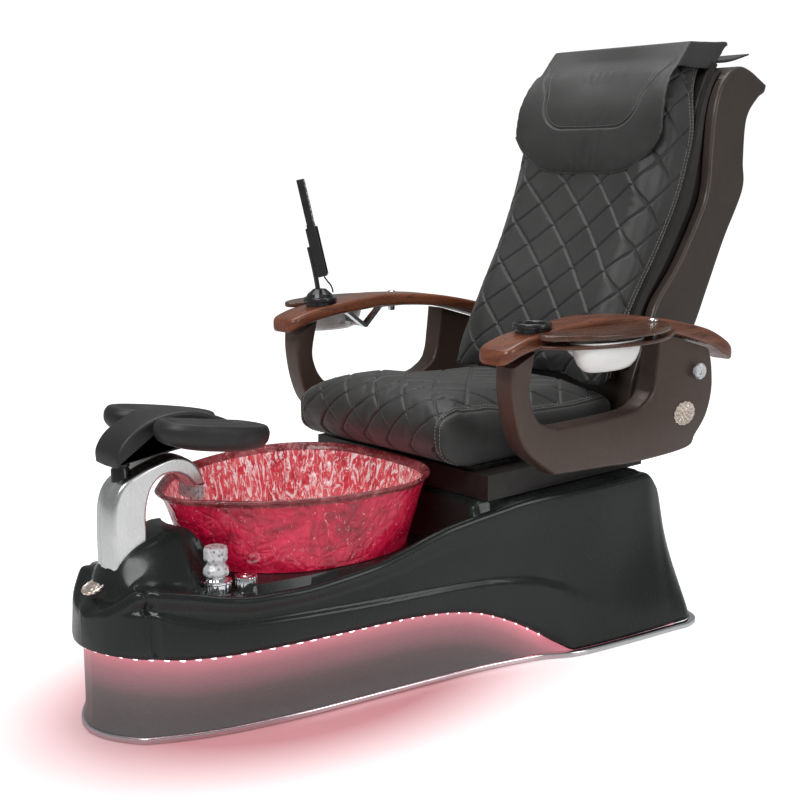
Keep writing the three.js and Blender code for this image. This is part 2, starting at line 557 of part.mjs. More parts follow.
const panelTop = (...stations) => stations.map((y) => [y, underWood(y) - 2 - GAP]);
const panelOutline = [
  ...panelTop(-28),
  ...smooth([[-28, 632], [-17, 569], [5, 514], [39, 478], [96, 441], [118, 433]], 10),
  [389, 419], [565, 425],
  ...smooth([[600, 452], [640, 495], [659, 552], [655, 610], [642, 648]], 8),
  ...panelTop(630, 560, 450),
  ...smooth([[447, 679], [441, 630], [430, 575], [383, 543], [245, 534], [121, 534], [64, 550], [32, 588],
    [23, 630], [30, 668]], 18),
  ...panelTop(38, 0),
];
pair('arm_panel', sideways(panelOutline, ARM_X, 3), paintedPanel);

const CUP_BASE = woodAt(CUP.y) - WOOD_T + 1;
const cup = turned([[0, CUP_BASE], [CUP.inner + 2, CUP_BASE], [CUP.inner + 2, CUP.flange],
  [CUP.outer, CUP.flange], [CUP.outer, CUP.top], [CUP.inner, CUP.top], [CUP.inner, CUP_BASE + 4],
  [0, CUP_BASE + 4]], [CUP.x, CUP.y, 0], 22);
pair('cup_holder', cup, blackPlastic);

// ---------- trays ----------
const leafInner = WOOD_X[1] + 2.5;
const leafOuter = [[430, 12], [462, 40], [496, 105], [516, 190], [514, 270], [492, 340]];
const leafFront = [[leafInner, 66], [398, 40], [412, 16]];
const lidTail = Array.from({ length: 8 }, (_, i) => {
  const angle = THREE.MathUtils.degToRad(40 + i * 20);
  return [LEAF_PIN[0] + 30 * Math.cos(angle), LEAF_PIN[1] + 30 * Math.sin(angle)];
});
const plateTail = [[470, 378], [446, 420], [424, 446], [406, 440], [leafInner, 424]];
const lidOutline = [...smooth([...leafFront, ...leafOuter], 16), ...lidTail];
const plateOutline = [...smooth([...leafFront, ...leafOuter.map(([x, y]) => [x - 4, y + 3])], 16),
  ...smooth(plateTail, 6)];
const BOWL_AT = [455, 175];
const oval = (rx, ry, count = 22) => Array.from({ length: count }, (_, i) => {
  const angle = (2 * Math.PI * i) / count;
  return [BOWL_AT[0] + rx * Math.cos(angle), BOWL_AT[1] + ry * Math.sin(angle)];
});
const pinHole = Array.from({ length: 12 }, (_, i) => [
  LEAF_PIN[0] + 5.6 * Math.cos((Math.PI * i) / 6), LEAF_PIN[1] + 5.6 * Math.sin((Math.PI * i) / 6)]);
pair('tray_plate', upright(plateOutline, LEAF_Z.plate, 0, [oval(44, 98), pinHole]), walnut);
pair('tray_lid', upright(lidOutline, LEAF_Z.lid, 0, [pinHole]), walnut);
const ovalRing = (rx, ry, z) => oval(rx, ry).map(([x, y]) => new THREE.Vector3(x, y, z));
const BOWL_Z = LEAF_Z.plate[1] + GAP;
pair('manicure_bowl', loft([ovalRing(22, 62, BOWL_Z - 60), ovalRing(36, 86, BOWL_Z - 43),
  ovalRing(43.4, 97.4, BOWL_Z - 12), ovalRing(43.4, 97.4, BOWL_Z), ovalRing(49, 103, BOWL_Z),
  ovalRing(49, 103, BOWL_Z + 3), ovalRing(39.5, 93.5, BOWL_Z + 3), ovalRing(39.5, 93.5, BOWL_Z - 12),
  ovalRing(33, 83, BOWL_Z - 39), ovalRing(19, 59, BOWL_Z - 56)]), ceramic);
const pin = turned([[0, 698], [9, 698], [9, 711.6], [5, 711.6], [5, 720.4], [9, 720.4], [9, 729.6], [5, 729.6],
  [5, 742.6], [11, 742.6], [11, 748], [7, 751], [0, 752]], [...LEAF_PIN, 0], 16);
pair('tray_pin', pin, chrome);
const woodBottom = (y) => underWood(y) - 1;
const vOutline = [[129, woodBottom(129)], [140, woodBottom(140)], [194, 684], [240, woodBottom(240)],
  [251, woodBottom(251)], [198, 674], [190, 674]];
const strut = join(sideways(vOutline, [335, 352]),
  box([345, WOOD_X[1] + 14], [188, 198], [676, 684]),
  box([WOOD_X[1] + 6, WOOD_X[1] + 14], [180, 206], [676, LEAF_Z.plate[0] - GAP]));
const bowlRoom = loft([ovalRing(26, 66, BOWL_Z - 71), ovalRing(40, 90, BOWL_Z - 45),
  ovalRing(46, 100, BOWL_Z - 9), ovalRing(46, 100, BOWL_Z + 9)]);
pair('tray_strut', cut(strut, bowlRoom), chrome);

// ---------- arm knob and badge ----------
const outward = (geometry, y, z) => geometry.rotateY(Math.PI / 2).translate(ARM_X[1] + GAP, y, z);
part('arm_knob', outward(turned([[0, 0], [10, 0], [10, 6], [19, 10], [19, 17], [10, 23], [0, 23]], [0, 0, 0], 8),
  585, 607), crystal);
const badge = turned([[0, 0], [1, 0], [1, 2], [0.94, 3], [0, 3]], [0, 0, 0], 28).scale(28, 39, 1);
part('arm_badge', outward(badge, 548, 511), champagne);

// ---------- remote control ----------
// Built upright about its own foot, then leaned and turned towards the sitter.
const REMOTE_TURN = Math.atan2(0.747, 0.665);
function towardSitter(geometry, lean = true) {
  if (lean) geometry.rotateY(THREE.MathUtils.degToRad(-REMOTE_LEAN)).translate(8, 0, 808);
  return geometry.rotateZ(REMOTE_TURN).translate(-CUP.x, CUP.y - 1, 0);
}
const holderBase = turned([[0, 744], [29, 744], [29, CUP.top + GAP], [34, CUP.top + GAP], [30, 766], [16, 778],
  [0, 780]], [0, 0, 0], 20);
const cradleShell = cut(box([-13, 13], [-34, 34], [2, 122]), box([-9.5, 20], [-30.5, 30.5], [6, 130]));
const cradle = towardSitter(cradleShell);
const stem = towardSitter(pipe([[-4, 0, 772], [-9, 0, 806], [-17, 0, 845], [-25, 0, 880]], 6, 8, 8), false);
part('remote_holder', join(towardSitter(holderBase, false), stem, cut(cradle)), blackPlastic);
const remoteBody = join(box([-9, 9], [-30, 30], [6.5, 130]), box([-8, 8], [-26, 26], [120, 240]));
part('remote', towardSitter(cut(remoteBody, box([7, 12], [-21, 21], [126, 232]))), blackPlastic);
part('remote_keypad', towardSitter(box([7.4, 9], [-20.6, 20.6], [126.4, 231.6])), greyPanel);
part('remote_cable', towardSitter(pipe([[11, 0, 808], [19, 0, 797], [27, 0, 787], [31, 0, 777],
  [32.5, 0, 769]], 2, 8, 8), false), rubber);

const chair = new THREE.Group();
parts.forEach((mesh) => chair.add(mesh));
chair.position.y = -ORIGIN_Y;
export default chair;
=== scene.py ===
"""Pedicure spa chair: the looks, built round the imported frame.

Outlines are in millimetres from the seat box's front edge (X to the sitter's left, Y to the back, Z up).
metres() turns them into the frame's metres.
"""

import json
import math

import bmesh
import bpy
import numpy as np
from mathutils import Matrix, Vector
from mathutils.bvhtree import BVHTree

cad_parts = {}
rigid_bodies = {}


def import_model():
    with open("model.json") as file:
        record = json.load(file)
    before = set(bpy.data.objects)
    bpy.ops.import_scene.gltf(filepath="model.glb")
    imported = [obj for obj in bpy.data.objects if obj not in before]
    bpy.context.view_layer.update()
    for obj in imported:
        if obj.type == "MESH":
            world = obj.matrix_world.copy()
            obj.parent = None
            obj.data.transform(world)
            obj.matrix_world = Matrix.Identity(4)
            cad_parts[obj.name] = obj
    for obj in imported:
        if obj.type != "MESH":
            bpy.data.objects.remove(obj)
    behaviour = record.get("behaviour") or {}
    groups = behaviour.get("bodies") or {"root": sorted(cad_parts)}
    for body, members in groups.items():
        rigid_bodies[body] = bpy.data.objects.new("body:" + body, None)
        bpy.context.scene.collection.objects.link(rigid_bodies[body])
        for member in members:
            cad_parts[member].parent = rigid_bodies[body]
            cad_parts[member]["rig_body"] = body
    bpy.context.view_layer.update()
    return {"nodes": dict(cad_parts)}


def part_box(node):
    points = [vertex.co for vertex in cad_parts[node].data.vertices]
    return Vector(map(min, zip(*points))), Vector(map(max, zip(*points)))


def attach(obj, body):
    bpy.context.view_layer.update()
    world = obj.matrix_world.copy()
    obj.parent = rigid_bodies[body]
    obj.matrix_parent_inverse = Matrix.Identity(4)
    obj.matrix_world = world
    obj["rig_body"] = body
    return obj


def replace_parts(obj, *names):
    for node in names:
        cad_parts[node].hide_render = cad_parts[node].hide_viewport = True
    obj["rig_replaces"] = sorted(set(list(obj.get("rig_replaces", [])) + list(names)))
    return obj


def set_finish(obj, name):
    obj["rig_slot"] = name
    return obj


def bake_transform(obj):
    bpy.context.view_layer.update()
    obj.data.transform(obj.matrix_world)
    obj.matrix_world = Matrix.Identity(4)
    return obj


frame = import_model()
nodes = frame["nodes"]
SEAT_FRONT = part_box("seat_box")[0].y
FLOOR = 0.0


# ---------- numbers and outlines ----------
def metres(points):
    """Millimetres from the seat box's front to the frame's metres."""
    points = np.asarray(points, float) / 1000
    return points + np.array([0, SEAT_FRONT, 0])


def millimetres(points):
    """The frame's metres to millimetres from the seat box's front."""
    return (np.asarray(points, float) - np.array([0, SEAT_FRONT, 0])) * 1000


def curve(points, count):
    """A Catmull-Rom curve through the points, as count + 1 points."""
    p = np.asarray(points, float)
    t = np.linspace(0, len(p) - 1, count + 1)
    i = np.minimum(t.astype(int), len(p) - 2)
    w = (t - i)[:, None]
    p0, p1, p2, p3 = p[np.maximum(i - 1, 0)], p[i], p[i + 1], p[np.minimum(i + 2, len(p) - 1)]
    v0, v1 = (p2 - p0) / 2, (p3 - p1) / 2
    return (2 * p1 - 2 * p2 + v0 + v1) * w**3 + (3 * p2 - 3 * p1 - 2 * v0 - v1) * w**2 + v0 * w + p1


def track(stations):
    """A smooth value along Y that never overshoots its stations."""
    y, v = np.array(stations, float).T
    slope = np.diff(v) / np.diff(y)
    product = slope[:-1] * slope[1:]
    inner = np.where(product > 0, 2 * product / (slope[:-1] + slope[1:] + 1e-12), 0)
    m = np.concatenate([[slope[0]], inner, [slope[-1]]])

    def at(q):
        q = np.clip(np.asarray(q, float), y[0], y[-1])
        i = np.clip(np.searchsorted(y, q) - 1, 0, len(y) - 2)
        h = y[i + 1] - y[i]
        t = (q - y[i]) / h
        return ((2 * t**3 - 3 * t**2 + 1) * v[i] + (t**3 - 2 * t**2 + t) * h * m[i]
                + (3 * t**2 - 2 * t**3) * v[i + 1] + (t**3 - t**2) * h * m[i + 1])

    return at


def smoothstep(v, low, high):
    t = np.clip((np.asarray(v, float) - low) / (high - low), 0, 1)
    return t * t * (3 - 2 * t)


def spaced(points, step, closed=False):
    """The same polyline with points a step apart."""
    p = np.asarray(points, float)
    if closed:
        p = np.vstack([p, p[:1]])
    length = np.concatenate([[0], np.cumsum(np.linalg.norm(np.diff(p, axis=0), axis=1))])
    count = max(2, int(round(length[-1] / step)))
    at = np.linspace(0, length[-1], count + 1)
    out = np.column_stack([np.interp(at, length, p[:, k]) for k in range(p.shape[1])])
    return out[:-1] if closed else out


def normals_2d(points, closed=False):
    """Unit normals to the right of a 2-D line."""
    p = np.asarray(points, float)
    along = np.roll(p, -1, 0) - np.roll(p, 1, 0) if closed else np.gradient(p, axis=0)
    along /= np.linalg.norm(along, axis=1)[:, None] + 1e-12
    return np.column_stack([along[:, 1], -along[:, 0]])


def rounded_section(half_width, half_height, radius, steps):
    """A rectangle with round corners, anticlockwise from the right side's bottom."""
    radius = min(radius, half_width, half_height)
    ring = []
    for quarter, (sx, sy) in enumerate([(1, -1), (1, 1), (-1, 1), (-1, -1)]):
        centre = np.array([sx * (half_width - radius), sy * (half_height - radius)])
        for k in range(steps + 1):
            a = math.radians(-90 + 90 * quarter + 90 * k / steps)
            ring.append(centre + radius * np.array([math.cos(a), math.sin(a)]))
    return np.array(ring)


# ---------- meshes ----------
def grid(rows, cols, wrap_rows=False, wrap_cols=True):
    """Quads over rows by cols points."""
    r = np.arange(rows if wrap_rows else rows - 1)[:, None]
    c = np.arange(cols if wrap_cols else cols - 1)[None]
    r2, c2 = (r + 1) % rows, (c + 1) % cols
    return np.stack([r * cols + c, r * cols + c2, r2 * cols + c2, r2 * cols + c], -1).reshape(-1, 4)


def shade(mesh, sharp=40):
    """Smooth faces between sharp edges; the large end faces stay flat."""
    mesh.shade_smooth()
    mesh.set_sharp_from_angle(angle=math.radians(sharp))
    for face in mesh.polygons:
        face.use_smooth = len(face.vertices) <= 10


def mesh_object(name, points, faces, sharp=40):
    """A smooth-shaded mesh object from points in millimetres, its faces turned out and doubles merged."""
    mesh = bpy.data.meshes.new(name)
    mesh.from_pydata(metres(points).tolist(), [], [list(map(int, f)) for f in faces])
    work = bmesh.new()
    work.from_mesh(mesh)
    bmesh.ops.remove_doubles(work, verts=work.verts, dist=2e-5)
    bmesh.ops.dissolve_degenerate(work, dist=1e-5, edges=work.edges)
    bmesh.ops.recalc_face_normals(work, faces=work.faces)
    work.to_mesh(mesh)
    work.free()
    shade(mesh, sharp)
    obj = bpy.data.objects.new(name, mesh)
    bpy.context.scene.collection.objects.link(obj)
    return obj


def loft(name, rings, closed=False, caps=True, sharp=40):
    """A body through rings of equal point counts."""
    rings = np.asarray(rings, float)
    rows, cols = rings.shape[:2]
    faces = grid(rows, cols, closed).tolist()
    if caps and not closed:
        faces += [list(range(cols))[::-1], list(range((rows - 1) * cols, rows * cols))]
    return mesh_object(name, rings.reshape(-1, 3), faces, sharp)


def sweep(path, section):
    """Rings of a 2-D section carried along a 3-D path."""
    path = np.asarray(path, float)
    along = np.gradient(path, axis=0)
    along /= np.linalg.norm(along, axis=1)[:, None]
    side = np.cross(along, np.broadcast_to(np.array([0.0, 0.0, 1.0]), along.shape))
    side /= np.linalg.norm(side, axis=1)[:, None]
    rise = np.cross(side, along)
    section = np.asarray(section, float)
    if section.ndim == 2:
        section = np.broadcast_to(section, (len(path), *section.shape))
    return path[:, None] + section[..., :1] * side[:, None] + section[..., 1:] * rise[:, None]


def circle(radius, sides):
    a = np.linspace(0, 2 * math.pi, sides, endpoint=False)
    return np.column_stack([radius * np.cos(a), radius * np.sin(a)])


def tube(name, path, radius, sides):
    return loft(name, sweep(path, circle(radius, sides)))


def turned(name, profile, centre, sides=64, sharp=40, flutes=None, hollow=False):
    """A lathe body about Z. flutes(angle, r, z) may change a radius; a hollow profile closes on itself."""
    a = np.linspace(0, 2 * math.pi, sides, endpoint=False)
    rings = []
    for r, z in profile:
        radius = np.full(sides, max(r, 1e-4))
        if flutes is not None:
            radius = radius * flutes(a, r, z)
        rings.append(np.column_stack([radius * np.cos(a), radius * np.sin(a), np.full(sides, z)]))
    return loft(name, np.array(rings) + np.array(centre, float), caps=not hollow, sharp=sharp)


def inset_rings(outline, stations):
    """A closed 2-D outline drawn at several (height, inset) stations, as (u, v, height) rings."""
    outline = np.asarray(outline, float)
    area = np.sum(outline[:, 0] * np.roll(outline[:, 1], -1) - outline[:, 1] * np.roll(outline[:, 0], -1))
    inward = normals_2d(outline, True) * (-1 if area > 0 else 1)
    return np.array([np.column_stack([outline + inward * inset, np.full(len(outline), height)])
                     for height, inset in stations])


def rounded_stations(low, high, radius, steps):
    """Stations whose two ends are rounded over."""
    angles = [math.radians(90 * k / steps) for k in range(steps + 1)]
    first = [(low + radius * (1 - math.cos(a)), radius * (1 - math.sin(a))) for a in angles]
    return first + [(high + low - height, inset) for height, inset in first[::-1]]


def slab(outline, low, high, radius, steps):
    """Rings of an XY outline with round upper and lower edges."""
    return inset_rings(outline, rounded_stations(low, high, radius, steps))


def sideways(outline, stations):
    """Rings of a YZ outline carried along X, at (x, inset) stations."""
    return inset_rings(outline, stations)[..., [2, 0, 1]]


def bevelled(obj, width, segments=3, angle=35):
    """A small round edge, in millimetres."""
    edge = obj.modifiers.new("edge", "BEVEL")
    edge.width = width / 1000
    edge.segments = segments
    edge.limit_method = "ANGLE"
    edge.angle_limit = math.radians(angle)
    edge.harden_normals = True
    return obj


def moved(obj, change, at=(0, 0, 0)):
    """Turns or stretches a body about the origin of its outline, then carries it to its place."""
    obj.data.transform(Matrix.Translation((0, -SEAT_FRONT, 0)))
    obj.data.transform(change)
    obj.data.transform(Matrix.Translation(metres(at)))
    return obj


def joined(name, objects):
    """Several loose bodies as one object."""
    with bpy.context.temp_override(active_object=objects[0], selected_editable_objects=objects):
        bpy.ops.object.join()
    objects[0].name = name
    return objects[0]


def carved(obj, *tools):
    """Cuts closed bodies out of a piece."""
    for tool in tools:
        cut = obj.modifiers.new("cut", "BOOLEAN")
        cut.operation, cut.solver, cut.object = "DIFFERENCE", "EXACT", tool
    apply_modifiers(obj)
    shade(obj.data)
    for tool in tools:
        bpy.data.objects.remove(tool)
    return obj


def dressed(names, material, edge=0.0):
    """A better finish on CAD nodes whose shape stays, with a small round edge in millimetres."""
    for name in names.split():
        for index in range(len(nodes[name].material_slots)):
            nodes[name].material_slots[index].material = material
        if edge:
            bevelled(nodes[name], edge, 2)


def scattered(obj):
    """The object's points in millimetres, and its point normals."""
    mesh = obj.data
    points = np.empty(len(mesh.vertices) * 3)
    mesh.vertices.foreach_get("co", points)
    normals = np.empty(len(mesh.vertices) * 3)
    mesh.vertex_normals.foreach_get("vector", normals)
    return millimetres(points.reshape(-1, 3)), normals.reshape(-1, 3)


def apply_modifiers(obj):
    """The object's mesh with its modifiers applied."""
    evaluated = obj.evaluated_get(bpy.context.evaluated_depsgraph_get())
    mesh = bpy.data.meshes.new_from_object(evaluated)
    obj.modifiers.clear()
    obj.data = mesh
    return obj


def piece(obj, body, material, replaces=(), slot=None):
    """Registers a finished piece: its body (none for one that bends), finish and the nodes it stands for."""
    obj.data.materials.clear()
    obj.data.materials.append(material)
    if body:
        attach(obj, body)
    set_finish(obj, slot or material["slot"])
    if replaces:
        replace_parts(obj, *([replaces] if isinstance(replaces, str) else replaces))
    return obj


def mirrored_piece(obj, name, **how):
    """The mirror image of a piece, on the other side of the chair."""
    twin = obj.copy()
    twin.data = obj.data.copy()
    twin.name = name
    twin.parent = None
    twin.data.transform(Matrix.Diagonal((-1, 1, 1, 1)))
    twin.data.flip_normals()
    bpy.context.scene.collection.objects.link(twin)
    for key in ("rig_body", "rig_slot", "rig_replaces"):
        if key in twin:
            del twin[key]
    return piece(twin, how["body"], how["material"], how.get("replaces", ()), how.get("slot"))


def both_sides(make, name, body, material, replaces=None, bodies=None):
    """The same piece left and right: make() builds the left one."""
    left = make()
    left.name = f"{name}_left"
    left_body, right_body = bodies or (body, body)
    stands = (f"{replaces}_left", f"{replaces}_right") if replaces else ((), ())
    right = mirrored_piece(left, f"{name}_right", body=right_body, material=material, replaces=stands[1])
    piece(left, left_body, material, stands[0])
    return left, right


# ---------- materials ----------
def shader(name, slot, color, roughness, **values):
    """A Principled material that remembers its record slot. Returns the material, its tree and the shader."""
    material = bpy.data.materials.new(name)
    material["slot"] = slot
    material.use_nodes = True
    tree = material.node_tree
    bsdf = tree.nodes["Principled BSDF"]
    bsdf.inputs["Base Color"].default_value = (*color, 1)
    bsdf.inputs["Roughness"].default_value = roughness
    for key, value in values.items():
        bsdf.inputs[key.replace("_", " ")].default_value = value
    return material, tree, bsdf


def add(tree, kind, links=None, **settings):
    """A node with its settings; links maps an input's name or number to a socket or a value."""
    node = tree.nodes.new("ShaderNode" + kind)
    for key, value in settings.items():
        setattr(node, key, value)
    for key, value in (links or {}).items():
        socket = node.inputs[key]
        if isinstance(value, bpy.types.NodeSocket):
            tree.links.new(value, socket)
        else:
            socket.default_value = value
    return node


def place(tree, scale=(1, 1, 1)):
    """Object coordinates, stretched."""
    coords = add(tree, "TexCoord").outputs["Object"]
    return add(tree, "Mapping", {"Vector": coords, "Scale": scale}).outputs["Vector"]


def ramp(tree, factor, stops):
    """A colour ramp from (position, colour) stops; a number stands for a grey."""
    node = add(tree, "ValToRGB", {"Fac": factor})
    band = node.color_ramp
    while len(band.elements) < len(stops):
        band.elements.new(0.5)
    for element, (position, color) in zip(band.elements, stops):
        element.position = position
        element.color = (*color, 1) if isinstance(color, tuple) else (color, color, color, 1)
    return node.outputs["Color"]


def mix(tree, factor, a, b, blend="MIX"):
    node = add(tree, "Mix", data_type="RGBA", blend_type=blend)
    for socket, value in zip((node.inputs[0], node.inputs[6], node.inputs[7]), (factor, a, b)):
        if isinstance(value, bpy.types.NodeSocket):
            tree.links.new(value, socket)
        else:
            socket.default_value = (*value, 1) if isinstance(value, tuple) else value
    return node.outputs[2]


def fractal(tree, vector, scale, detail=4, roughness=0.5, distortion=0.0):
    return add(tree, "TexNoise", {"Vector": vector, "Scale": scale, "Detail": detail, "Roughness": roughness,
                                  "Distortion": distortion}).outputs["Fac"]


def bump(tree, bsdf, height, strength, distance=0.001, normal=None):
    links = {"Height": height, "Strength": strength, "Distance": distance}
    if normal is not None:
        links["Normal"] = normal
    node = add(tree, "Bump", links)
    tree.links.new(node.outputs["Normal"], bsdf.inputs["Normal"])
    return node.outputs["Normal"]


def link(tree, socket, bsdf, name):
    tree.links.new(socket, bsdf.inputs[name])


def shaded(color, share):
    """The same colour, darker or lighter."""
    return tuple(c * share for c in color)


def worn_edges(tree, amount):
    """White on convex edges, for wear."""
    point = add(tree, "NewGeometry").outputs["Pointiness"]
    edge = ramp(tree, point, [(0.5, 0.0), (0.62, amount)])
    patchy = fractal(tree, place(tree), 40, 3)
    return mix(tree, 1.0, edge, ramp(tree, patchy, [(0.4, 0.0), (0.65, 1.0)]), "MULTIPLY")


def gel_coat():
    """Glossy dark grey gel coat: slight waviness, dust and fine scuffs."""
    material, tree, bsdf = shader("gel_coat", "fibreglass", (0.014, 0.017, 0.017), 0.2,
                                  Coat_Weight=0.12, Coat_Roughness=0.08, Specular_IOR_Level=0.3)
    spot = place(tree)
    tones = [(0.3, (0.012, 0.015, 0.0145)), (0.7, (0.017, 0.020, 0.0195))]
    tone = ramp(tree, fractal(tree, spot, 3.5, 5), tones)
    link(tree, mix(tree, worn_edges(tree, 0.25), tone, (0.08, 0.085, 0.085)), bsdf, "Base Color")
    scuffs = fractal(tree, place(tree, (1, 12, 3)), 30, 6, 0.7)
    link(tree, ramp(tree, scuffs, [(0.35, 0.18), (0.75, 0.32)]), bsdf, "Roughness")
    bump(tree, bsdf, fractal(tree, spot, 9, 2), 0.12, 0.004)
    return material


def chrome_plate():
    """Polished chrome with faint smudges."""
    material, tree, bsdf = shader("chrome_plate", "chrome", (0.78, 0.79, 0.81), 0.04, Metallic=1.0)
    smudge = fractal(tree, place(tree), 25, 5, 0.6)
    link(tree, ramp(tree, smudge, [(0.35, 0.04), (0.75, 0.16)]), bsdf, "Roughness")
    bump(tree, bsdf, fractal(tree, place(tree), 300, 3), 0.02, 0.0004)
    return material


def brushed_metal(name, slot, color, roughness, grain=(2, 2, 60)):
    """Metal with a fine brushed grain; the grain runs across the largest stretch."""
    material, tree, bsdf = shader(name, slot, color, roughness, Metallic=1.0)
    lines = fractal(tree, place(tree, grain), 45, 6, 0.7)
    link(tree, ramp(tree, lines, [(0.3, roughness * 0.75), (0.7, roughness * 1.3)]), bsdf, "Roughness")
    tone = ramp(tree, fractal(tree, place(tree), 8, 3), [(0.3, shaded(color, 0.88)), (0.7, color)])
    link(tree, tone, bsdf, "Base Color")
    bump(tree, bsdf, lines, 0.06, 0.0005)
    return material


def cast_steel():
    """Dark mill-finish steel with faint scale."""
    material, tree, bsdf = shader("mill_steel", "steel", (0.11, 0.12, 0.13), 0.45, Metallic=0.9)
    scale = fractal(tree, place(tree), 35, 6, 0.65)
    tone = ramp(tree, scale, [(0.35, (0.07, 0.075, 0.08)), (0.7, (0.16, 0.17, 0.18))])
    link(tree, tone, bsdf, "Base Color")
    link(tree, ramp(tree, scale, [(0.3, 0.6), (0.75, 0.35)]), bsdf, "Roughness")
    bump(tree, bsdf, fractal(tree, place(tree), 220, 4), 0.1, 0.0006)
    return material


def crackle(tree, vector):
    """Height of crackled glass: cell walls over long ripples."""
    cells = add(tree, "TexVoronoi", {"Vector": vector, "Scale": 42.0},
                feature="DISTANCE_TO_EDGE").outputs["Distance"]
    walls = ramp(tree, cells, [(0.0, 0.0), (0.22, 1.0)])
    ripple = fractal(tree, place(tree, (1, 1, 0.35)), 34, 5, 0.65, 1.2)
    return mix(tree, 0.55, walls, ramp(tree, ripple, [(0.3, 0.0), (0.7, 1.0)]))


def ruby_glass(name, tones, flecks, stretch, painted_glow, **values):
    """Crackled glass from dark to light tones, with (colour, threshold) flecks stretched along Z. Its
    emission is a painted glow that stands in for light inside the basin.
    """
    material, tree, bsdf = shader(name, "ruby_glass", tones[1], 0.12, IOR=1.5, Coat_Weight=0.5,
                                  Coat_Roughness=0.04, Emission_Strength=painted_glow, **values)
    spot = place(tree)
    body = ramp(tree, fractal(tree, spot, 16, 6, 0.7, 0.8), list(zip((0.3, 0.5, 0.7), tones)))
    color, threshold = flecks
    noise_at = fractal(tree, place(tree, (1, 1, stretch)), 60, 6, 0.75, 2.2)
    pale = mix(tree, ramp(tree, noise_at, [(threshold, 0.0), (threshold + 0.07, 1.0)]), body, color)
    link(tree, pale, bsdf, "Base Color")
    # The painted glow takes the glass's own colour, so the pale flecks glow most.
    link(tree, pale, bsdf, "Emission Color")
    bump(tree, bsdf, crackle(tree, spot), 0.6, 0.005)
    return material


def cut_crystal():
    material, tree, bsdf = shader("cut_crystal", "crystal", (0.86, 0.89, 0.9), 0.03, IOR=1.5,
                                  Transmission_Weight=0.3, Coat_Weight=1.0)
    # Dark grey and near-white cells painted in the colour stand in for glints and reflections in the facets;
    # the same cells dent the surface.
    facets_and_painted_glints = add(tree, "TexVoronoi", {"Vector": place(tree), "Scale": 110.0}).outputs["Distance"]
    link(tree, ramp(tree, facets_and_painted_glints, [(0.1, (0.26, 0.29, 0.31)), (0.45, (0.97, 0.98, 1.0))]), bsdf, "Base Color")
    bump(tree, bsdf, facets_and_painted_glints, 0.7, 0.003)
    return material


def hide(name="seat_leather", slot="leather", dark=(0.020, 0.020, 0.0193), light=(0.035, 0.035, 0.034)):
    """Soft synthetic leather: pebbled grain, faint creases, and a sheen on worn highs."""
    material, tree, bsdf = shader(name, slot, dark, 0.5, Sheen_Weight=0.12, Sheen_Roughness=0.5)
    spot = place(tree)
    tone = ramp(tree, fractal(tree, spot, 7, 5, 0.6), [(0.3, dark), (0.7, light)])
    link(tree, mix(tree, worn_edges(tree, 0.35), tone, (0.062, 0.062, 0.060)), bsdf, "Base Color")
    pebble = add(tree, "TexVoronoi", {"Vector": spot, "Scale": 620.0},
                 feature="SMOOTH_F1").outputs["Distance"]
    crease = ramp(tree, fractal(tree, spot, 38, 7, 0.62, 0.9), [(0.42, 0.0), (0.5, 1.0), (0.58, 0.0)])
    link(tree, ramp(tree, pebble, [(0.1, 0.42), (0.8, 0.62)]), bsdf, "Roughness")
    first = bump(tree, bsdf, crease, 0.10, 0.0012)
    bump(tree, bsdf, pebble, 0.22, 0.0006, first)
    return material


def thread(name="grey_thread", slot="leather", color=(0.30, 0.30, 0.29)):
    """Twisted sewing thread."""
    material, tree, bsdf = shader(name, slot, color, 0.7, Sheen_Weight=0.4)
    twist = add(tree, "TexWave", {"Vector": place(tree), "Scale": 900.0, "Distortion": 2.0}).outputs["Fac"]
    link(tree, ramp(tree, twist, [(0.0, shaded(color, 0.6)), (1.0, color)]), bsdf, "Base Color")
    bump(tree, bsdf, twist, 0.4, 0.0003)
    return material


def moulded(name, slot, color, low, high, grain=420, depth=0.12, coat=0.0):
    """Moulded plastic or skinned foam with a spark-eroded texture."""
    material, tree, bsdf = shader(name, slot, color, low, Coat_Weight=coat, Coat_Roughness=0.1)
    spot = place(tree)
    tone = ramp(tree, fractal(tree, spot, 6, 5), [(0.3, shaded(color, 0.8)), (0.7, shaded(color, 1.15))])
    worn = tuple(min(1, c * 1.9 + 0.01) for c in color)
    link(tree, mix(tree, worn_edges(tree, 0.3), tone, worn), bsdf, "Base Color")
    fine = fractal(tree, spot, grain, 4, 0.6)
    link(tree, ramp(tree, fractal(tree, spot, 30, 4), [(0.3, low), (0.7, high)]), bsdf, "Roughness")
    bump(tree, bsdf, fine, depth, 0.0006)
    return material


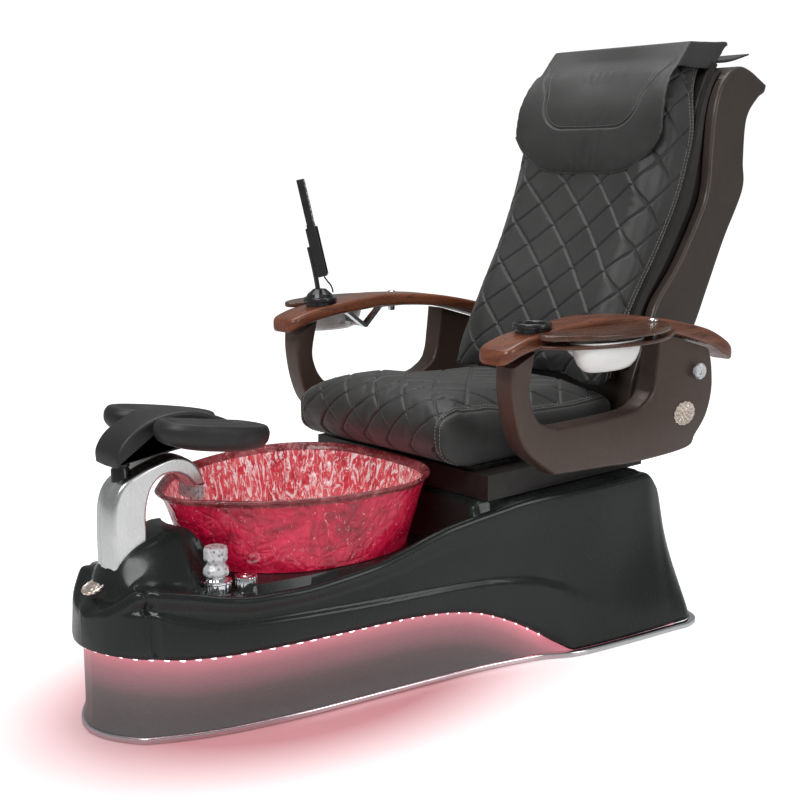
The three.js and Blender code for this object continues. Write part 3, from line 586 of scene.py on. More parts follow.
def lacquered_wood(name, slot, dark, middle, light, stretch, scale=1.0):
    """Clear-lacquered wood: growth rings, pores along the grain and broad colour change."""
    material, tree, bsdf = shader(name, slot, middle, 0.36, Coat_Weight=0.18, Coat_Roughness=0.12)
    along = place(tree, stretch)
    bend = fractal(tree, along, 5 * scale, 4, 0.5)
    push = add(tree, "VectorMath", {0: bend, 1: (0.25, 0.25, 0.25)}, operation="MULTIPLY").outputs[0]
    warped = add(tree, "VectorMath", {0: along, 1: push}).outputs[0]
    rings = add(tree, "TexWave", {"Vector": warped, "Scale": 9.0 * scale, "Distortion": 5.5, "Detail": 4.0,
                                  "Detail Scale": 1.6}, wave_type="RINGS").outputs["Fac"]
    body = ramp(tree, rings, [(0.1, dark), (0.45, middle), (0.9, light)])
    fleck = fractal(tree, place(tree, shaded(stretch, 9)), 24 * scale, 5, 0.7)
    pores = ramp(tree, fleck, [(0.34, 1.0), (0.46, 0.0)])
    tones = [(0.3, shaded(middle, 0.75)), (0.7, shaded(middle, 1.2))]
    broad = ramp(tree, fractal(tree, along, 2.2, 3), tones)
    colour = mix(tree, pores, mix(tree, 0.6, body, broad), shaded(dark, 0.45))
    link(tree, mix(tree, worn_edges(tree, 0.3), colour, shaded(light, 1.4)), bsdf, "Base Color")
    link(tree, ramp(tree, fleck, [(0.3, 0.38), (0.6, 0.24)]), bsdf, "Roughness")
    bump(tree, bsdf, fleck, 0.06, 0.0004)
    return material


def bronze_paint():
    """Satin bronze-brown paint with fine metallic flake and orange peel."""
    color = (0.078, 0.048, 0.036)
    material, tree, bsdf = shader("bronze_paint", "brown_paint", color, 0.42, Metallic=0.25,
                                  Coat_Weight=0.25, Coat_Roughness=0.25)
    flake = add(tree, "TexVoronoi", {"Vector": place(tree), "Scale": 1500.0}).outputs["Color"]
    spark = ramp(tree, flake, [(0.4, shaded(color, 0.85)), (0.9, shaded(color, 1.35))])
    link(tree, mix(tree, worn_edges(tree, 0.35), spark, (0.16, 0.11, 0.085)), bsdf, "Base Color")
    link(tree, ramp(tree, fractal(tree, place(tree), 14, 5), [(0.3, 0.36), (0.7, 0.5)]), bsdf, "Roughness")
    bump(tree, bsdf, fractal(tree, place(tree), 260, 2), 0.08, 0.0006)
    return material


def glazed_ceramic():
    material, tree, bsdf = shader("white_glaze", "ceramic", (0.86, 0.85, 0.82), 0.12, Coat_Weight=0.7)
    pool = fractal(tree, place(tree), 18, 4)
    link(tree, ramp(tree, pool, [(0.3, (0.90, 0.89, 0.87)), (0.7, (0.95, 0.94, 0.92))]), bsdf, "Base Color")
    bump(tree, bsdf, pool, 0.05, 0.002)
    return material


def lit_panel():
    """Satin grey kick panel with a painted rose glow: an emission that fades down from the light strip above
    it and stands in for the strip's light on the panel.
    """
    material, tree, bsdf = shader("kick_panel", "grey_panel", (0.14, 0.14, 0.14), 0.35, Metallic=0.1)
    brushed = fractal(tree, place(tree, (3, 3, 60)), 30, 4, 0.6)
    tone = ramp(tree, brushed, [(0.3, (0.12, 0.123, 0.123)), (0.7, (0.17, 0.173, 0.173))])
    link(tree, tone, bsdf, "Base Color")
    link(tree, ramp(tree, brushed, [(0.3, 0.3), (0.7, 0.42)]), bsdf, "Roughness")
    # Painted light: the panel emits rose where the strip's light would fall on it.
    painted_rose_light = add(tree, "Attribute", attribute_name="painted_rose_light").outputs["Fac"]
    painted_glow = ramp(tree, painted_rose_light, [(0.0, 0.0), (0.3, 0.05), (0.7, 0.42), (1.0, 1.0)])
    link(tree, mix(tree, 1.0, painted_glow, (1.0, 0.25, 0.33), "MULTIPLY"), bsdf, "Emission Color")
    bsdf.inputs["Emission Strength"].default_value = 0.58
    bump(tree, bsdf, brushed, 0.05, 0.0005)
    return material


def light_strip():
    material, tree, bsdf = shader("rose_light", "led", (1.0, 0.3, 0.38), 0.4, Emission_Strength=9.0)
    dots = fractal(tree, place(tree), 120, 2)
    link(tree, ramp(tree, dots, [(0.3, (1.0, 0.22, 0.30)), (0.7, (1.0, 0.45, 0.5))]), bsdf, "Emission Color")
    return material


def light_bead():
    material, tree, bsdf = shader("white_light", "led", (1.0, 0.8, 0.82), 0.3, Emission_Strength=3.0)
    core = fractal(tree, place(tree), 400, 2)
    link(tree, ramp(tree, core, [(0.3, (1.0, 0.68, 0.72)), (0.7, (1.0, 0.9, 0.9))]), bsdf, "Emission Color")
    return material


GEL = gel_coat()
CHROME = chrome_plate()
SATIN = brushed_metal("satin_chrome", "satin_metal", (0.80, 0.805, 0.81), 0.26, (60, 60, 2))
STEEL = cast_steel()
# The last number of each glass is the strength of its painted glow.
RUBY = ruby_glass("ruby_glass", [(0.17, 0.001, 0.013), (0.54, 0.006, 0.044), (0.84, 0.022, 0.09)],
                  ((0.95, 0.42, 0.42), 0.61), 0.6, 0.16)
STREAKED = ruby_glass("streaked_glass", [(0.30, 0.006, 0.02), (0.66, 0.045, 0.07), (0.74, 0.17, 0.19)],
                      ((0.93, 0.81, 0.81), 0.505), 0.26, 0.19)
RIM_GLASS = ruby_glass("rim_glass", [(0.10, 0.006, 0.01), (0.30, 0.035, 0.045), (0.55, 0.17, 0.18)],
                       ((0.92, 0.62, 0.60), 0.60), 1.0, 0.06, Transmission_Weight=0.25)
CRYSTAL = cut_crystal()
LEATHER = hide()
SIDE_LEATHER = hide("side_leather", "leather", (0.014, 0.014, 0.0135), (0.024, 0.024, 0.023))
THREAD = thread()
QUILT_THREAD = thread("quilt_thread", "leather", (0.115, 0.115, 0.11))
FOAM_SKIN = moulded("foam_skin", "rubber", (0.017, 0.017, 0.017), 0.42, 0.55, 260, 0.15)
CABLE = moulded("cable_sheath", "rubber", (0.02, 0.02, 0.02), 0.4, 0.55, 300, 0.08)
BLACK = moulded("black_moulding", "black_plastic", (0.012, 0.012, 0.013), 0.22, 0.36, 500, 0.08, 0.3)
BROWN_SHELL = moulded("brown_moulding", "back_plastic", (0.050, 0.037, 0.030), 0.34, 0.46, 380, 0.10, 0.15)
DARK_LINER = moulded("dark_liner", "back_plastic", (0.018, 0.015, 0.013), 0.5, 0.65, 300, 0.12)
WHITE = moulded("white_moulding", "white_plastic", (0.68, 0.68, 0.66), 0.35, 0.5)
KEYS = moulded("key_membrane", "grey_panel", (0.15, 0.15, 0.15), 0.4, 0.55)
BRONZE = bronze_paint()
DARK_BOX = moulded("box_paint", "brown_paint", (0.014, 0.0105, 0.0095), 0.42, 0.55, 300, 0.08)
CHERRY = lacquered_wood("cherry", "cherry_wood", (0.12, 0.036, 0.017), (0.19, 0.058, 0.028),
                        (0.26, 0.090, 0.042), (1.0, 0.12, 1.0))
WALNUT = lacquered_wood("walnut", "walnut_wood", (0.055, 0.021, 0.011), (0.098, 0.039, 0.022),
                        (0.14, 0.060, 0.034), (1.0, 0.16, 1.0), 1.2)
GLAZE = glazed_ceramic()
PANEL = lit_panel()
LIGHT = light_strip()
BEAD = light_bead()
GOLD = brushed_metal("champagne_plate", "champagne", (0.88, 0.77, 0.68), 0.34, (4, 4, 4))


# ---------- camera, floor and light ----------
CAMERA_AT, CAMERA_TILT, CAMERA_TURN = (2094.9, -1856.6, 1065.8), 79.67, 48.3
SENSOR, LENS = 36, 56.906
# Centre and reach of the rose pool of light painted on the floor.
PAINTED_POOL_CENTRE, PAINTED_POOL_REACH = (0.03, -0.44, 0.0), (0.62, 0.88, 1.0)


def camera():
    data = bpy.data.cameras.new("camera")
    data.sensor_width, data.lens = SENSOR, LENS
    obj = bpy.data.objects.new("camera", data)
    obj.location = metres(CAMERA_AT)
    obj.rotation_euler = (math.radians(CAMERA_TILT), 0, math.radians(CAMERA_TURN))
    bpy.context.scene.collection.objects.link(obj)
    bpy.context.scene.camera = obj


def lamp(name, place_at, aim, size, power):
    data = bpy.data.lights.new(name, "AREA")
    data.shape, data.size, data.size_y, data.energy = "RECTANGLE", *size, power
    obj = bpy.data.objects.new(name, data)
    obj.location = place_at
    obj.rotation_mode = "QUATERNION"
    obj.rotation_quaternion = (Vector(aim) - Vector(place_at)).to_track_quat("-Z", "Y")
    bpy.context.scene.collection.objects.link(obj)


def lit_floor():
    """A white floor with a rose pool of light painted into its colour and emission round the front of the
    skirt, standing in for the skirt's glow.
    """
    material = bpy.data.materials.new("floor")
    material.use_nodes = True
    tree = material.node_tree
    bsdf = tree.nodes["Principled BSDF"]
    coords = add(tree, "TexCoord").outputs["Object"]
    shifted = add(tree, "VectorMath", {0: coords, 1: PAINTED_POOL_CENTRE}, operation="SUBTRACT").outputs[0]
    shared = add(tree, "VectorMath", {0: shifted, 1: PAINTED_POOL_REACH}, operation="DIVIDE").outputs[0]
    away = add(tree, "VectorMath", {0: shared}, operation="LENGTH").outputs["Value"]
    dust = fractal(tree, place(tree), 3, 4)
    # Painted pool of light: 1 near the skirt's front, fading to 0 further out.
    painted_glow = ramp(tree, away, [(0.45, 1.0), (0.7, 0.5), (1.0, 0.0)])
    plain = ramp(tree, dust, [(0.3, 0.80), (0.7, 0.84)])
    link(tree, mix(tree, painted_glow, plain, (0.50, 0.24, 0.26)), bsdf, "Base Color")
    link(tree, mix(tree, painted_glow, (1.0, 1.0, 1.0), (0.24, 0.12, 0.13)), bsdf, "Emission Color")
    seen = add(tree, "LightPath").outputs["Is Camera Ray"]
    strength = add(tree, "MapRange", {"Value": seen, "To Min": 0.12, "To Max": 0.90}).outputs["Result"]
    link(tree, strength, bsdf, "Emission Strength")
    bsdf.inputs["Roughness"].default_value = 0.4
    return material


def studio():
    """A pale floor, a white surround and soft boxes."""
    bpy.context.scene.view_settings.view_transform = "Standard"
    world = bpy.data.worlds.new("studio")
    bpy.context.scene.world = world
    world.use_nodes = True
    world.node_tree.nodes["Background"].inputs["Color"].default_value = (1, 1, 1, 1)
    seen = add(world.node_tree, "LightPath").outputs["Is Camera Ray"]
    strength = add(world.node_tree, "MapRange",
                   {"Value": seen, "To Min": 0.26, "To Max": 1.05}).outputs["Result"]
    world.node_tree.links.new(strength, world.node_tree.nodes["Background"].inputs["Strength"])
    lamp("key", (1.2, -2.6, 3.2), (0, 0, 0.5), (2.0, 1.2), 60)
    lamp("side", (3.4, 0.9, 1.9), (0, 0, 0.5), (0.9, 2.0), 22)
    lamp("overhead", (-0.5, 0.2, 3.6), (0, 0, 0.3), (2.6, 2.2), 60)
    bpy.ops.mesh.primitive_plane_add(size=40, location=(0, 0, FLOOR - 0.0005))
    floor = bpy.context.object
    floor.name = "floor"
    floor.data.materials.append(lit_floor())


camera()

# ---------- remote's lead ----------
CUP_AT = (351.0, 60.0)
REMOTE_LEAN, REMOTE_TURN = math.radians(12.6), math.atan2(0.747, 0.665)
LEAD_ROUTE = [(11, 0, 808), (19, 0, 797), (27, 0, 787), (31, 0, 777), (32.5, 0, 769)]
LEAD_DIAMETER = 0.004


def toward_sitter(points, lean=True):
    """From the remote's own upright frame to its place over the right arm, turned to the sitter."""
    x, y, z = np.moveaxis(np.asarray(points, float), -1, 0)
    if lean:
        c, s = math.cos(-REMOTE_LEAN), math.sin(-REMOTE_LEAN)
        x, z = x * c + z * s + 8, -x * s + z * c + 808
    c, s = math.cos(REMOTE_TURN), math.sin(REMOTE_TURN)
    return np.stack([x * c - y * s - CUP_AT[0], x * s + y * c + CUP_AT[1] - 1, z], -1)


def remote_lead():
    """A short lead from the handset's foot down into the holder's base."""
    route = toward_sitter(curve(LEAD_ROUTE, 24), lean=False)
    lead = tube("remote_lead", route, 500 * LEAD_DIAMETER, 12)
    piece(lead, None, CABLE, "remote_cable")
    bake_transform(lead)


remote_lead()
studio()

# ---------- base shell ----------
NOSE_Y, TAIL_Y = -796.0, 640.5
LIP_HALF = track([(NOSE_Y, 0), (-795, 16), (-790, 44), (-780, 72), (-760, 104), (-735, 130), (-712, 143),
                  (-655, 167), (-570, 199), (-444, 227), (-260, 256), (-130, 276), (0, 298), (60, 313),
                  (132, 334), (215, 366), (350, 392), (500, 412), (556, 418), (590, 400), (612, 350),
                  (628, 280), (638, 150), (TAIL_Y, 0)])
EDGE_HALF = track([(NOSE_Y, 0), (-794, 14), (-780, 62), (-755, 95), (-732, 114), (-708, 127), (-655, 149),
                   (-570, 184), (-444, 213), (-260, 240), (-130, 262), (0, 288), (132, 318), (215, 332),
                   (350, 340), (469, 340), (520, 330), (560, 320), (600, 300), (628, 240), (638, 140),
                   (TAIL_Y, 0)])
LIP_Z = track([(NOSE_Y, 178), (-722, 171), (-655, 162), (-580, 160), (-225, 160), (-128, 155), (-77, 148),
               (-26, 137), (23, 119), (71, 96), (120, 67), (174, 32), (212, 13.4), (TAIL_Y, 13.4)])
EDGE_Z = track([(NOSE_Y, 240), (-775, 262), (-755, 280), (-732, 298), (-706, 297), (-655, 288),
                (-580, 272), (-521, 265), (-440, 265), (-352, 272), (-260, 284), (-189, 303), (-140, 319),
                (-91, 333), (-15, 348), (32, 356), (100, 368), (171, 373), (469, 373), (520, 338),
                (551, 269), (603, 134), (TAIL_Y, 30)])
CENTRE_Z = track([(NOSE_Y, 246), (-778, 262), (-768, 270), (-758, 300), (-745, 322), (-722, 347),
                  (-690, 364), (-660, 374), (-640, 380), (-618, 384), (-604, 384), (-590, 350),
                  (-565, 292), (-548, 283), (-75, 283), (-55, 292), (-35, 335), (-15, 368), (-2, 376),
                  (469, 376), (520, 341), (551, 272), (603, 137), (TAIL_Y, 33)])
MOUND_HALF = track([(NOSE_Y, 20), (-755, 88), (-708, 120), (-655, 146), (-625, 150), (-595, 130),
                    (-575, 112), (-560, 108), (-520, 188), (-444, 213), (-260, 240), (-130, 262), (0, 288),
                    (TAIL_Y, 320)])
MOUND_FLAT = track([(NOSE_Y, 0.2), (-700, 0.25), (-600, 0.3), (-560, 0.6), (-520, 0.94), (TAIL_Y, 0.96)])
CREASE_Z = track([(NOSE_Y, 256), (-740, 258), (-700, 250), (-673, 238), (-587, 216), (-449, 211), (-222, 204),
                  (-125, 203), (-23, 200), (73, 192), (164, 168), (256, 127), (350, 100), (TAIL_Y, 90)])
CREASE_DEEP = track([(NOSE_Y, 2), (-770, 9), (-735, 11), (-690, 9), (-620, 7), (-400, 5.5), (-100, 5),
                     (120, 4), (256, 1), (350, 0), (TAIL_Y, 0)])
HOLLOW_FLANK = track([(NOSE_Y, 0), (80, 0), (240, 6), (400, 11), (500, 7), (580, 0), (TAIL_Y, 0)])
NOTCH_Y, NOTCH_WIDE, NOTCH_DEEP = -716.0, 8.0, 9.0
EDGE_ROUND = 13.0
VALVE_SPOT, VALVE_CLEAR = (123.0, -572.0), 44.0


def deck_height(x, y):
    """The mound behind the pillar wraps round the basin's front and leaves a level spot for the valve."""
    x = np.abs(x)
    reach = np.minimum(MOUND_HALF(y), np.maximum(EDGE_HALF(y), 1))
    fall = smoothstep(x, MOUND_FLAT(y) * reach, reach)
    level = np.exp(-((np.hypot(x - VALVE_SPOT[0], y - VALVE_SPOT[1]) / VALVE_CLEAR) ** 4))
    wrap = np.minimum(0.0057 * x**2, 30) * smoothstep(-y, 505, 575)
    centre = CENTRE_Z(y - wrap)
    return centre + (EDGE_Z(y) - centre) * np.maximum(fall, level)


def base_ring(y):
    """Half of a cross-section: lip, flank with its crease and notch, round edge, then the deck."""
    lip, edge, low, top = LIP_HALF(y), EDGE_HALF(y), LIP_Z(y), EDGE_Z(y)
    radius = min(EDGE_ROUND, 0.45 * edge + 0.1, 0.3 * (top - low))
    up = np.linspace(0, 1, 34)
    z = low + (top - radius - low) * up
    x = lip + (edge - lip) * smoothstep(up, -0.25, 1.25)
    ledge = CREASE_DEEP(y) * smoothstep(z, CREASE_Z(y) - 3, CREASE_Z(y) + 6) * smoothstep(lip, 0, 90)
    x = x - ledge * (1 - smoothstep(up, 0.75, 1.0))
    x = x - HOLLOW_FLANK(y) * np.sin(np.pi * up) ** 1.5
    x = x - 3.5 * np.exp(-(((z - low) / 5.0) ** 2)) * smoothstep(lip, 0, 60)
    notch = NOTCH_DEEP * np.exp(-(((y - NOTCH_Y) / NOTCH_WIDE) ** 2))
    x = np.maximum(x - notch * smoothstep(up, -0.05, 0.1), 0)
    points = list(zip(x, z))
    corner = max(x[-1] - radius, 0.0)
    for a in np.linspace(0.25, 1.45, 6):
        points.append((corner + radius * math.cos(a), top - radius + radius * math.sin(a)))
    across = np.linspace(1, 0, 34)[1:] * corner
    points += list(zip(across, deck_height(across, y)))
    return np.array([(px, y, pz) for px, pz in points])


def base_shell():
    nose = NOSE_Y + 96 * np.linspace(0, 1, 46) ** 2
    rest = np.concatenate([np.arange(-698, -500, 4), np.arange(-500, 500, 8), np.arange(500, 600, 5)])
    tail = TAIL_Y - 40 * np.linspace(1, 0, 20) ** 2
    rings = []
    for y in np.concatenate([nose, rest, tail]):
        half = base_ring(float(y))
        rings.append(np.vstack([half, (half * np.array([-1, 1, 1]))[-2::-1]]))
    rings = np.array(rings)
    faces = grid(len(rings), rings.shape[1], wrap_cols=False)
    obj = mesh_object("base_body", rings.reshape(-1, 3), faces, 50)
    wall = obj.modifiers.new("wall", "SOLIDIFY")
    wall.thickness, wall.offset, wall.use_even_offset = 0.005, -1, False
    return piece(obj, "base", GEL, "base_shell")


base_shell()

# ---------- floor plan: skirt, trim and light strip ----------
PLAN_NOSE = curve([(0, -784), (34, -778), (62, -767), (90, -750), (112, -733)], 16)
PLAN_SIDE = curve([(112, -733), (150, -662), (184, -570), (213, -444), (242, -260), (262, -130), (285, 0),
                   (324, 132), (366, 215), (392, 350), (412, 500), (418, 556), (392, 602), (300, 628),
                   (160, 638), (0, 640)], 120)
HALF_PLAN = np.vstack([PLAN_NOSE[:-1], PLAN_SIDE])
PLAN_OUT = normals_2d(HALF_PLAN)
PLAN_OUT[0], PLAN_OUT[-1] = (0, -1), (0, 1)


def plan_wall(name, section, last=None):
    """A section of (outward, height) points carried along the plan; section(y) may change along it."""
    count = len(HALF_PLAN) if last is None else int(np.argmax(HALF_PLAN[:, 1] > last))
    half = []
    for (x, y), (nx, ny) in zip(HALF_PLAN[:count], PLAN_OUT[:count]):
        half.append([(x + nx * out, y + ny * out, z) for out, z in section(y)])
    half = np.array(half)
    other = half[1:] * np.array([-1, 1, 1]) if last is not None else half[1:-1] * np.array([-1, 1, 1])
    rings = np.vstack([other[::-1], half])
    return loft(name, rings, closed=last is None)


TRIM_HEIGHT = 13.0
trim_section = rounded_section(8, TRIM_HEIGHT / 2, 3.5, 4) + np.array([-3, TRIM_HEIGHT / 2])
piece(plan_wall("floor_strip", lambda y: trim_section), "base", CHROME, "floor_trim")


def skirt_section(y):
    inset = float(np.interp(y, [-785, 60, 132, 215], [-5, -5, -9, -14]))
    top = max(float(LIP_Z(y)) + 14, 40)
    heights = np.linspace(TRIM_HEIGHT + 0.4, top, 14)
    flare = 5.5 * np.exp(-(heights - TRIM_HEIGHT) / 14)
    outer = [(inset + f, z) for f, z in zip(flare, heights)]
    inner = [(inset - 6 + f * 0.9, z) for f, z in zip(flare, heights)]
    return outer + inner[::-1]


# How far down the panel the painted rose glow reaches, and where the panel ends along Y.
PAINTED_LIGHT_REACH, SKIRT_LAST = 118.0, 520


def kick_panel():
    """The panel under the lip; its attribute for the painted rose glow is 1 at the light strip and 0 where
    the strip's light has faded.
    """
    panel = plan_wall("kick_panel", skirt_section, SKIRT_LAST)
    points, _ = scattered(panel)
    painted_rose_light = 1 - np.clip((LIP_Z(points[:, 1]) - points[:, 2]) / PAINTED_LIGHT_REACH, 0, 1)
    panel.data.attributes.new("painted_rose_light", "FLOAT", "POINT").data.foreach_set("value", painted_rose_light)
    return piece(panel, "base", PANEL, "skirt")


kick_panel()
LIGHT_LAST, BEAD_PITCH, BEAD_LAST = 150, 29, 140
BEAD_LONG, BEAD_DEEP, BEAD_OUT = 7.0, 2.0, 5.0
BEAD_DOME = [(0.2, -1.0), (0.75, -0.75), (1.0, -0.2), (1.0, 0.4), (0.2, 0.4)]


def strip_section(y):
    low, high = LIP_Z(y) + 2, LIP_Z(y) + 8
    return [(0.5, low), (0.5, high), (-4.5, high), (-4.5, low)]


piece(plan_wall("light_strip", strip_section, LIGHT_LAST), "base", LIGHT, "led_strip")


def light_beads():
    """Small domes spaced along the lip's underside."""
    line = spaced(np.vstack([(HALF_PLAN * np.array([-1, 1]))[:0:-1], HALF_PLAN]), BEAD_PITCH)
    line = line[line[:, 1] < BEAD_LAST]
    points, faces = [], []
    for x, y in line:
        outward = np.array([x, y + 300]) / np.hypot(x, y + 300)
        across = np.array([outward[1], -outward[0]])
        middle = np.array([x, y]) + outward * BEAD_OUT
        start = len(points)
        for r, h in BEAD_DOME:
            for a in np.linspace(0, 2 * math.pi, 10, endpoint=False):
                spot = middle + across * BEAD_LONG * r * math.cos(a) + outward * BEAD_DEEP * r * math.sin(a)
                points.append((*spot, float(LIP_Z(y)) - 1.8 + 2.2 * h))
        faces += (grid(len(BEAD_DOME), 10) + start).tolist()
        faces += [list(range(start, start + 10))[::-1], list(range(start + 40, start + 50))]
    return mesh_object("light_beads", points, faces)


piece(light_beads(), "base", BEAD)

# ---------- basin and drain ----------
DRAIN = np.array([0.0, -290.0])
RIM_PLAN = [(0, -614), (45, -602), (84, -574), (153, -511), (205, -430), (239, -334), (250, -240),
            (240, -150), (191, -75), (118, -34), (0, -22)]
BOTTOM_PLAN = [(0, -533), (42, -529), (84, -512), (138, -466), (180, -405), (203, -325), (206, -240),
               (192, -165), (152, -108), (90, -82), (0, -74)]
BASIN_FLARE = [(0, 283.4), (0.06, 296), (0.26, 330), (0.46, 365), (0.64, 400), (0.82, 425), (0.97, 435)]
DECK_Z, RIM_Z, GLASS_WALL, RIM_ROUND = 283.4, 436.0, 8.0, 4.5


def basin_ring(share, z, inset):
    """The basin's plan between its bottom (0) and its rim (1), drawn in towards the drain by inset."""
    half = np.array(BOTTOM_PLAN) * (1 - share) + np.array(RIM_PLAN) * share
    reach = DRAIN - half
    half = half + inset * reach / np.linalg.norm(reach, axis=1)[:, None]
    half[[0, -1], 0] = 0
    fine = curve(half, 64)
    ring = np.vstack([fine, (fine * np.array([-1, 1]))[-2:0:-1]])
    return np.column_stack([ring, np.full(len(ring), z)])


def drain_ring(z):
    ring = basin_ring(0, z, 0)
    reach = ring[:, :2] - DRAIN
    ring[:, :2] = DRAIN + 24.5 * reach / np.linalg.norm(reach, axis=1)[:, None]
    return ring


def basin():
    flare = curve(BASIN_FLARE, 30)
    outside = [basin_ring(share, z, 10 if z < 284 else 0) for share, z in flare]
    inside = [basin_ring(share, z + 3.5 + 4.5 * (z < 284), GLASS_WALL + 10 * (z < 284))
              for share, z in flare[::-1]]
    rim = [basin_ring(1, RIM_Z + RIM_ROUND * math.sin(a), RIM_ROUND * (1 - math.cos(a)))
           for a in np.radians(np.linspace(-60, 200, 10))]
    rings = [drain_ring(DECK_Z), *outside, *rim, *inside, drain_ring(DECK_Z + GLASS_WALL)]
    return loft("glass_basin", rings, closed=True, sharp=60)


RIM_BAND = 425.0


def three_finishes(bowl):
    """Ruby outside, streaks inside and a clearer band round the rim."""
    bowl.data.materials.append(STREAKED)
    bowl.data.materials.append(RIM_GLASS)
    for face in bowl.data.polygons:
        x, y, z = millimetres(face.center)
        inward = face.normal.x * (x - DRAIN[0]) + face.normal.y * (y - DRAIN[1]) < 0 or face.normal.z > 0.7
        face.material_index = 2 if z > RIM_BAND else int(inward)


three_finishes(piece(basin(), "base", RUBY, "basin"))
DRAIN_AT = (*DRAIN, DECK_Z)
DRAIN_RING = [(16, -20), (22, -20), (22, 8.8), (30, 8.8), (30, 10.6), (28.5, 11.6), (18, 11.6), (16, 10.4),
              (16, -20)]
DRAIN_PLUG = [(0, -12), (5, -12), (6, -10), (6, 11.4), (21.4, 12.2), (22, 12.8), (21, 14), (14, 16), (6, 17),
              (0, 17)]
piece(turned("drain_ring", DRAIN_RING, DRAIN_AT, hollow=True), "base", CHROME, "drain_flange")
piece(turned("drain_plug", DRAIN_PLUG, DRAIN_AT), "drain_stopper", CHROME, "drain_stopper")
dressed("drain_pipe", WHITE)
dressed("drain_pump power_supply recline_actuator", BLACK, 2)
dressed("chassis slide_rails slide_runners seat_frame hinge_bracket hinge_shaft back_frame", STEEL, 1.2)

# ---------- nose plate ----------
PLATE_AT, PLATE_LEAN = (0.0, -766.0, 290.0), math.radians(22)


def nose_plate():
    """A generic cast ornament: a beaded disc with a six-petal rosette."""
    disc_profile = [(0, -3), (23, -3), (24, -2), (24, 1.5), (22, 3), (19, 2), (17, 1.4), (0, 1.4)]
    disc = turned("nose_ornament", disc_profile, (0, 0, 0), 72,
                  flutes=lambda a, r, z: 1 + 0.035 * np.cos(12 * a) * (r > 21))
    rosette_profile = [(0, 0.8), (15, 0.8), (13, 2.6), (7, 3.4), (5, 2.8), (4, 4.2), (0, 4.6)]
    rosette = turned("rosette", rosette_profile, (0, 0, 0), 72,
                     flutes=lambda a, r, z: 1 - 0.24 * (1 - np.abs(np.cos(3 * a))) * (r > 6))
    return moved(joined("nose_ornament", [disc, rosette]), Matrix.Rotation(PLATE_LEAN, 4, "X"), PLATE_AT)


# ---------- spout pillar and water controls ----------
PILLAR_FRONT = [(-738, 390), (-733, 446), (-715, 482), (-680, 501), (-640, 514), (-600, 521), (-568, 512),
                (-545, 488), (-533, 455)]
PILLAR_BACK = [(-556, 453), (-572, 474), (-598, 488), (-630, 487), (-654, 466), (-666, 425), (-666, 390)]
PILLAR_HALF = 35.0


def pillar():
    """A rectangular arch with a raised band down its middle and its front wider than its back."""
    outline = np.vstack([spaced([(-738, 292), (-738, 388)], 12), curve(PILLAR_FRONT, 56),
                         curve(PILLAR_BACK, 44), spaced([(-666, 388), (-666, 292)], 12)])
    band = [(-14, 0), (-11, -0.6), (-9, -1.6), (9, -1.6), (11, -0.6), (14, 0)]
    edges = rounded_stations(-PILLAR_HALF, PILLAR_HALF, 6, 4)
    rings = sideways(outline, edges[:5] + band + edges[5:])
    front = smoothstep(rings[..., 1], -690, -735)
    rings[..., 1] -= 5 * front * (1 - (rings[..., 0] / PILLAR_HALF) ** 2)
    return loft("spout_arch", rings, sharp=38)


def spout_outlet():
    """A clear ribbed lip under the end of the arch."""
    ring = rounded_section(31, 11, 9, 10)
    around = np.arctan2(ring[:, 1], ring[:, 0])
    rings = []
    for z, grow, deep in [(462, 0.92, 0), (456, 1.0, 0.2), (452, 1.03, 1), (440, 1.06, 1), (430, 1.1, 1),
                          (427, 1.04, 0.6), (427, 0.3, 0)]:
        scale = grow * (1 + 0.05 * deep * np.cos(22 * around))
        rings.append(np.column_stack([ring[:, 0] * scale, -545 + ring[:, 1] * scale, np.full(len(ring), z)]))
    return loft("spout_outlet", rings, sharp=30)


piece(pillar(), "base", SATIN, "spout_pillar")
piece(spout_outlet(), "base", CRYSTAL)
KNOB_AT, BUTTON_AT = (*VALVE_SPOT, 285), (141, -516, 285)
COLLAR = [(0, -60), (16, -60), (16, -14), (28, -14), (28, 1), (30, 3), (30, 6), (27, 8), (24, 8.4), (22, 11),
          (18, 12), (18, 14.2), (0, 14.2)]
GRIP = [(0, 14.8), (18, 14.8), (24, 17), (26, 22), (25, 30), (19, 38), (18, 41), (22, 46), (24, 50), (24, 68),
        (22, 72), (18, 73), (0, 73.4)]
BEZEL = [(14, -16), (23, -16), (23, 5), (22, 7.4), (20, 8), (15, 8), (14, 7), (14, -16)]
CAP = [(0, -10), (13, -10), (13.4, 8.4), (12.6, 9.6), (9, 11), (5, 11.2), (4, 12), (0, 12.4)]


def petals(count, depth):
    """Flutes round the outer part of a lathe body."""
    return lambda a, r, z: 1 + depth * np.cos(count * a) * (r > 18)


def cap_flutes(a, r, z):
    return 1 - 0.16 * np.abs(np.sin(3 * a)) * (4.5 < r < 12)


def water_controls():
    collar = turned("valve_base", COLLAR, KNOB_AT, 96, 35, petals(16, 0.03))
    piece(collar, "base", CHROME, "valve_collar")
    piece(turned("valve_grip", GRIP, KNOB_AT, 10, 12), "valve_knob", CRYSTAL, "valve_knob")
    bezel = turned("button_ring", BEZEL, BUTTON_AT, 96, 35, petals(18, 0.025), True)
    piece(bezel, "base", CHROME, "button_bezel")
    cap = turned("button_cap", CAP, BUTTON_AT, 72, 30, cap_flutes)
    piece(cap, "jet_button", CHROME, "jet_button")


water_controls()
piece(nose_plate(), "base", GOLD, "nose_plate")

